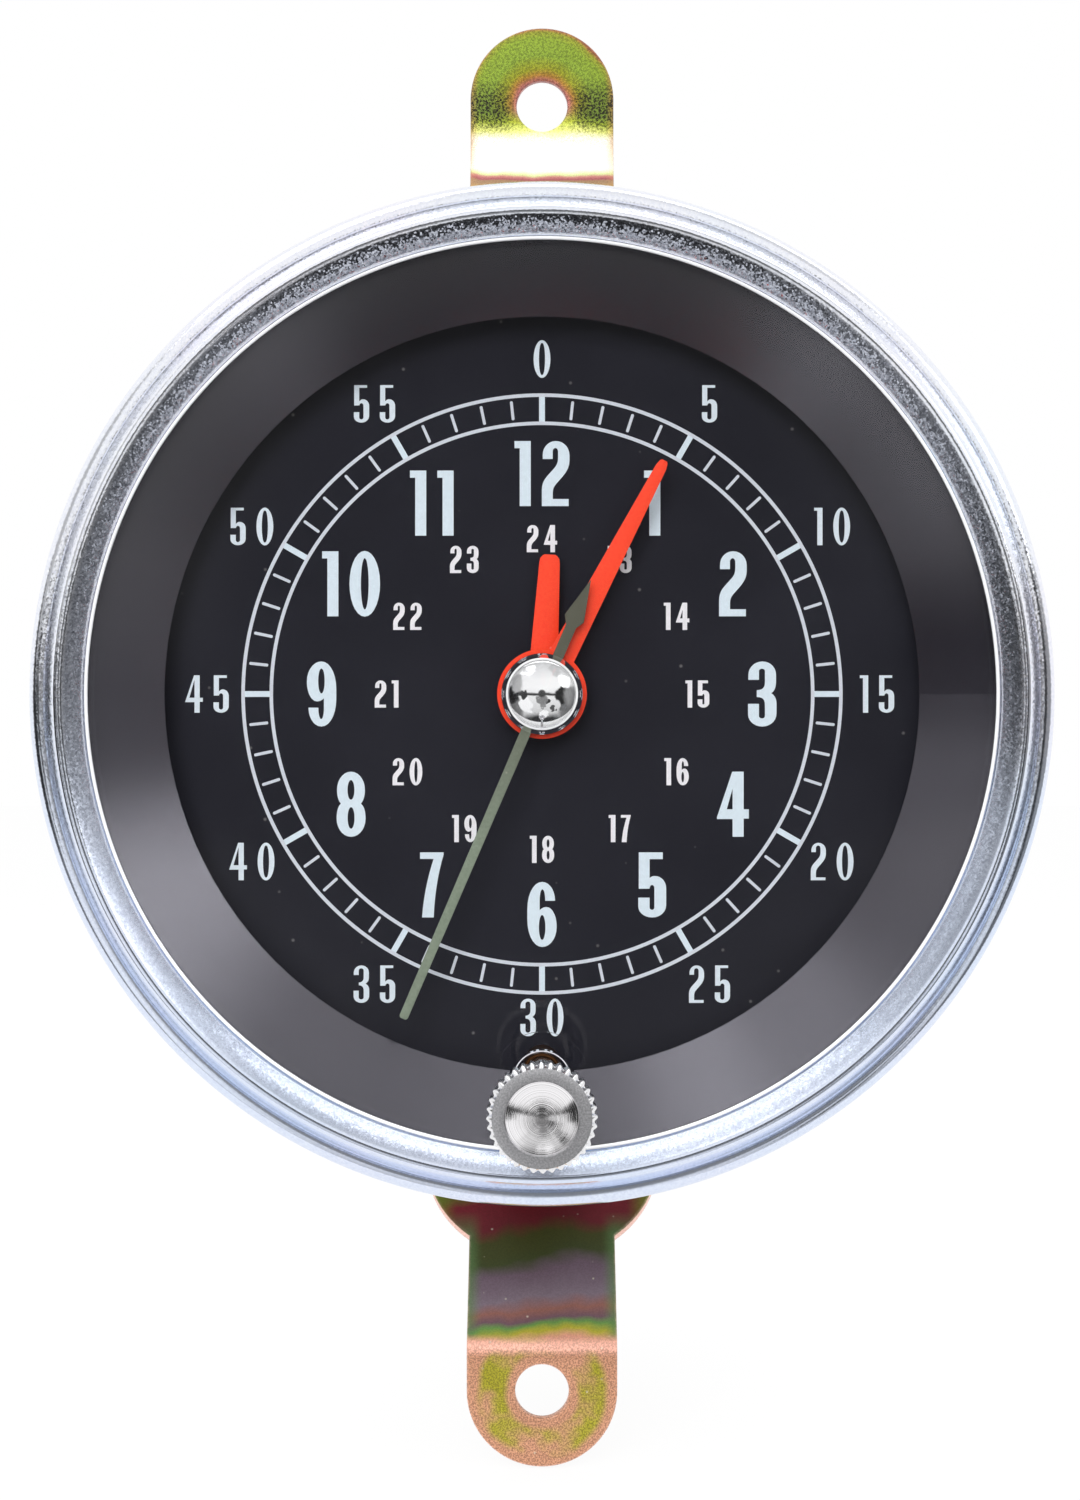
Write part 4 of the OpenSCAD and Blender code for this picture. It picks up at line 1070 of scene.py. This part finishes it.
def makeHands():
    h = SimpleNamespace(**hands)
    front, thick = h.hour[:2]
    hour = ridgedBlade("hourHand", *h.hour)
    joinSolids(hour, turnPiece("hourHub", washer(*h.hourHub, front - thick, front), steps=96))
    softEdges(hour, h.soft)
    turnHand(hour, h.hourTurn)
    place(hour, "hour", node="hour_hand")

    front, thick = h.minute[:2]
    rear, rim, soft = front - thick, front + h.hubRise, h.hubSoft
    bore, outer, inner = h.minuteBore, h.hubOuter, h.hubInner
    minute = ridgedBlade("minuteHand", *h.minute)
    profile = [(bore, rear), (outer, rear), (outer, rim - soft), (outer - soft, rim),
               (inner + soft, rim), (inner, rim - soft), (inner, front), (bore, front), (bore, rear)]
    joinSolids(minute, turnPiece("minuteHub", profile, steps=128))
    turnHand(minute, h.minuteTurn)
    place(minute, "minute", node="minute_hand")

    w, tip = h.secondWide / 2, h.secondWide * h.secondTip
    neck, back = h.tailStem
    barb, length = h.barb / 2, h.secondLength
    cutX, cutZ = tip - h.tipCut[0], length - h.tipCut[1]
    outline = [(-w, 0), (-tip, cutZ), (-cutX, length), (cutX, length), (tip, cutZ), (w, 0),
               (w, -neck), (barb, -back), (0, -h.tail), (-barb, -back), (-w, -neck)]
    front, thick = h.secondFront, h.secondThick
    second = cutSheet("secondHand", outline, front, thick)
    joinSolids(second, turnPiece("secondHub", washer(*h.secondHub, front - thick, front), steps=64))
    softEdges(second, h.soft)
    turnHand(second, h.secondTurn)
    place(second, "second", node="second_hand")


cap = {
    "base": 0.72, "skirt": 4.1, "rim": 3.65, "dome": 3.38, "rimFront": 1.3, "domeHigh": 1.25,
    "bore": 0.6, "boreDeep": 0.75, "edge": 0.02, "roll": 0.05, "rollHigh": 0.06,
}


def ballFor(radius, rise):
    # radius of the ball whose cap is that wide and high, and its half angle
    ball = (radius ** 2 + rise ** 2) / (2 * rise)
    return ball, math.degrees(math.asin(radius / ball))


def makeCap():
    c = SimpleNamespace(**cap)
    ball, lean = ballFor(c.dome, c.domeHigh)
    base, skirt, rim, dome, front = c.base, c.skirt, c.rim, c.dome, c.rimFront
    edge, roll, top = c.edge, c.roll, front + c.rollHigh
    profile = [(c.bore, base), (skirt, base), (skirt, base + edge), (rim + edge, front - 2 * edge),
               (rim, front + edge), (rim - roll, top), (dome + roll, top),
               (dome + edge, front - roll), (dome, front - roll)]
    profile += roundCorner(0, front + c.domeHigh - ball, ball, 90 - lean, 90, 24)
    profile += [(0, base + c.boreDeep), (c.bore, base + c.boreDeep), (c.bore, base)]
    piece = turnPiece("centreCap", profile, steps=160)
    place(piece, "second", node="centre_cap", sharp=25)


makeHands()
makeCap()
print("hands ready")


# setting knob

knob = {
    "face": 29.5, "rear": 23.5, "rimRear": 27.1, "outer": 5.0, "root": 4.74, "chamfer": 0.5,
    "dome": 3.35, "domeSink": 0.15, "domeRise": 0.65, "hub": 2.7, "bore": 1.5,
    "hubSoft": 0.25, "neck": 0.15, "rearCut": (0.5, 0.35), "land": 0.1, "turn": (0.12, 0.05),
    "faceTurn": (0.08, 0.04), "teeth": 36, "knurlDeep": 0.2,
    "tooth": (1, 1, 0.5, 0, 0, 0.5),  # top, flank and root round one pitch
}


def makeKnob():
    k = SimpleNamespace(**knob)
    bore, hub, dome, outer = k.bore, k.hub, k.dome, k.outer
    rear, rimRear, face, chamfer = k.rear, k.rimRear, k.face, k.chamfer
    rimFront, inner, sunk = face - chamfer, outer - chamfer, face - k.domeSink
    soft, neck, cut, turn, lip = k.hubSoft, k.neck, k.rearCut, k.turn, k.faceTurn
    profile = [(bore, rear), (hub - soft, rear), (hub, rear + soft), (hub, rimRear - neck),
               (hub + neck, rimRear), (outer - cut[0], rimRear), (outer, rimRear + cut[1]),
               (outer, rimFront - k.land), (outer - turn[0], rimFront + turn[1]),
               (inner, face - lip[1]), (inner - lip[0], face),
               (dome + lip[0], face), (dome, face - lip[0]), (dome, sunk)]
    ball, lean = ballFor(dome, k.domeRise)
    profile += roundCorner(0, sunk + k.domeRise - ball, ball, 90 - lean, 90, 16)[1:]
    profile += [(0, rimRear), (bore, rimRear), (bore, rear)]
    steps = k.teeth * len(k.tooth)
    piece = turnPiece("setKnob", profile, knobCentre[1], steps)
    for v in piece.data.vertices:
        x, z = v.co.x / mm, v.co.z / mm - knobCentre[1]
        r = math.hypot(x, z)
        if r > outer - k.knurlDeep:
            step = round(math.atan2(z, x) / math.tau * steps) % len(k.tooth)
            new = r - (outer - k.root) * (1 - k.tooth[step])
            v.co.x, v.co.z = x * new / r * mm, (z * new / r + knobCentre[1]) * mm
    place(piece, "knob", node="set_knob", sharp=28)


holeEdge = {"inner": 2.75, "outer": 2.86, "rear": 7.2, "front": 7.28}


def makeHoleEdge():
    # painted highlight: a pale ring on the drilled edge of the lens stands in for the light that edge
    # catches
    piece = turnPiece("holeEdge", washer(**holeEdge), knobCentre[1], 96)
    place(piece, "case", dialInk("drilledEdge", (200, 200, 206)))


makeKnob()
makeHoleEdge()
print("knob ready")


# can, brackets, rivets, terminal and back screws keep their CAD shapes with broken edges

# width and steps of the broken edge
softened = {
    "case_can": (0.35, 3), "top_bracket": (0.18, 3), "bottom_bracket": (0.18, 3),
    "bracket_rivets": (0.3, 3), "case_screws": (0.2, 2), "power_terminal": (0.2, 2),
    "terminal_insulator": (0.3, 3),
}
weld, flat = 0.012, 1.6  # mm and degrees that still count as one point and one plane
films = {"top_bracket": topFilm(), "bottom_bracket": lowFilm()}
for node, (width, segments) in softened.items():
    place(softCopy(node, width, segments), "case", films.get(node), node)
print("brackets ready")

for node, piece in frame["nodes"].items():
    if piece.hide_render:
        continue
    piece.data.materials.clear()
    piece.data.materials.append(finishes[slotOf[node]])
print("inner works finished")


# stage: floor, light and camera

stage = {
    "cameraBack": 247.6, "lens": 58.54, "sensor": 36, "nearest": 10,
    "axisPixel": (542, 694), "image": (1080, 1500),
    "floorFront": -36, "floorBack": 1500, "floorHalf": 1200, "floorGap": 0.2,
    "floorTone": (0.9, 0.9, 0.9, 1), "floorGlow": 0.92, "behind": (-0.12, 0.1),
    # how bright the room is, from straight down to straight up
    "room": [(0.0, 0.03), (0.1, 0.04), (0.17, 0.66), (0.44, 0.9), (0.465, 0.8), (0.475, 0.06),
             (0.505, 0.06), (0.535, 0.9), (0.62, 1.0), (0.78, 0.98), (0.95, 0.84), (0.985, 0.97)],
    "waver": 0.06, "waverScale": 3.2,  # nothing in the room is quite straight
    # towards, full within and gone past these degrees, how bright
    "cards": [((-0.9, -0.25, -0.4), 20, 30, 0.2), ((0.9, -0.25, -0.4), 20, 30, 0.22),
              ((-0.58, -0.68, -0.45), 16, 19, 1.0), ((0.1, -0.68, -0.72), 10, 13, 1.0),
              ((0.78, -0.5, -0.38), 9, 13, 0.16), ((0.72, -0.69, -0.05), 13, 19, 0.03),
              ((-0.72, -0.69, 0.0), 5, 10, 0.05), ((-0.26, -0.78, -0.56), 6, 8, 0.12),
              ((0.06, -0.86, -0.48), 6, 8, 0.3), ((0.24, -0.91, -0.28), 2, 3.5, 0.04),
              ((0.36, -0.74, -0.56), 5, 7, 0.1), ((-0.93, -0.36, 0.02), 13, 21, 0.02),
              ((0.92, -0.36, -0.05), 10, 22, 0.3), ((0.0, -0.98, -0.17), 9, 14, 0.24),
              ((-0.445, -0.447, 0.77), 7, 16, 2.2), ((0.77, -0.447, 0.445), 7, 16, 2.2),
              ((0.445, -0.447, 0.77), 5, 14, 0.66), ((-0.825, -0.447, 0.334), 10, 20, 0.5)],
    "cameraCard": ((0.0, -1.0, 0.02), 6.5, 10, 0.06),  # the dark place of the camera itself
    # where, towards, size, power, seen in metal and lens
    "lights": {"keyBox": ((-0.15, -0.75, 0.35), (0, 0, 0), (0.5, 0.5), 5.2, False),
               "topBox": ((0, -0.14, 0.48), (0, 0, -0.03), (0.9, 0.5), 1.6, False),
               # the highlight along the bezel
               "stripBox": ((0, -0.055, 0.46), (0, 0, 0), (0.8, 0.1), 0.5, True)},
}


def makeFloor():
    s = SimpleNamespace(**stage)
    freshStart()
    bpy.ops.mesh.primitive_plane_add(size=1)
    floor = bpy.context.object
    floor.name = "floor"
    floor.scale = (2 * s.floorHalf * mm, (s.floorBack - s.floorFront) * mm, 1)
    floor.location = (0, (s.floorBack + s.floorFront) / 2 * mm,
                      cadBox[0][2] - s.floorGap * mm)
    bpy.ops.object.transform_apply(location=True, scale=True)
    finish, _ = newFinish("floorWhite")
    light = addNode("LightPath").outputs
    mirrored = calc("MAXIMUM", light["Is Glossy Ray"], light["Is Transmission Ray"])
    seen = calc("MAXIMUM", light["Is Camera Ray"], mirrored)
    paint = addNode("BsdfDiffuse")
    feed(paint.inputs[0], s.floorTone)
    glow = addNode("Emission").outputs[0]
    twoLooks(finish, times(seen, s.floorGlow), paint.outputs[0], glow)
    floor.data.materials.append(finish)


def makeWorld():
    # a pale room above, a dim one below, white and dark cards and the camera's own dark place
    world = bpy.data.worlds.new("studio")
    bpy.context.scene.world = world
    world.use_nodes = True
    tree = drawing["tree"] = world.node_tree
    straight = addNode("TexCoord").outputs["Generated"]
    bend = addNode("TexNoise")
    feed(bend.inputs["Vector"], straight)
    feed(bend.inputs["Scale"], stage["waverScale"])
    feed(bend.inputs["Detail"], 3)
    waver = stage["waver"]
    shift = vectors("MULTIPLY_ADD", bend.outputs["Color"], (2 * waver,) * 3, (-waver,) * 3)
    way = vectors("ADD", straight, shift)
    split = addNode("SeparateXYZ")
    feed(split.inputs[0], way)
    _, y, z = split.outputs
    levels = [(where, (level, level, level, 1)) for where, level in stage["room"]]
    room = bands(spread(z, -1, 1), levels)
    cards = [(way, card) for card in stage["cards"]] + [(straight, stage["cameraCard"])]
    for seenAlong, (toward, inner, outer, strength) in cards:
        near = vectors("DOT_PRODUCT", seenAlong, mathutils.Vector(toward).normalized())
        gone, full = math.cos(math.radians(outer)), math.cos(math.radians(inner))
        card = spread(near, gone, full, smooth=True)
        room = calc("ADD", room, times(card, calc("SUBTRACT", strength, room)))
    behind = spread(y, *stage["behind"], smooth=True)  # white as a backdrop
    studio = calc("ADD", room, times(behind, calc("SUBTRACT", 1, room)))
    seen = addNode("LightPath").outputs["Is Camera Ray"]
    shine = tree.nodes["Background"].inputs
    feed(shine["Color"], calc("MAXIMUM", seen, studio))
    feed(shine["Strength"], 1)


def softBox(name, where, towards, size, power, mirrored):
    lamp = bpy.data.lights.new(name, "AREA")
    lamp.shape = "RECTANGLE"
    lamp.size, lamp.size_y = size
    lamp.energy = power
    box = bpy.data.objects.new(name, lamp)
    addToScene(box)
    box.location = where
    reach = [b - a for a, b in zip(where, towards)]
    box.rotation_euler = mathutils.Vector(reach).to_track_quat("-Z", "Y").to_euler()
    if not mirrored:
        box.visible_glossy = box.visible_transmission = False


def makeCamera():
    s = SimpleNamespace(**stage)
    wide, high = s.image
    camera = bpy.data.cameras.new("camera")
    camera.lens = s.lens
    camera.sensor_width = s.sensor
    camera.shift_x = (wide / 2 - s.axisPixel[0]) / high
    camera.shift_y = (s.axisPixel[1] - high / 2) / high
    camera.clip_start = s.nearest * mm
    eye = bpy.data.objects.new("camera", camera)
    addToScene(eye)
    eye.location = (0, -s.cameraBack * mm, 0)
    eye.rotation_euler = (math.radians(90), 0, 0)
    bpy.context.scene.camera = eye


makeFloor()
makeWorld()
for name, light in stage["lights"].items():
    softBox(name, *light)
makeCamera()
bpy.context.scene.view_settings.view_transform = "Standard"
print("stage ready")
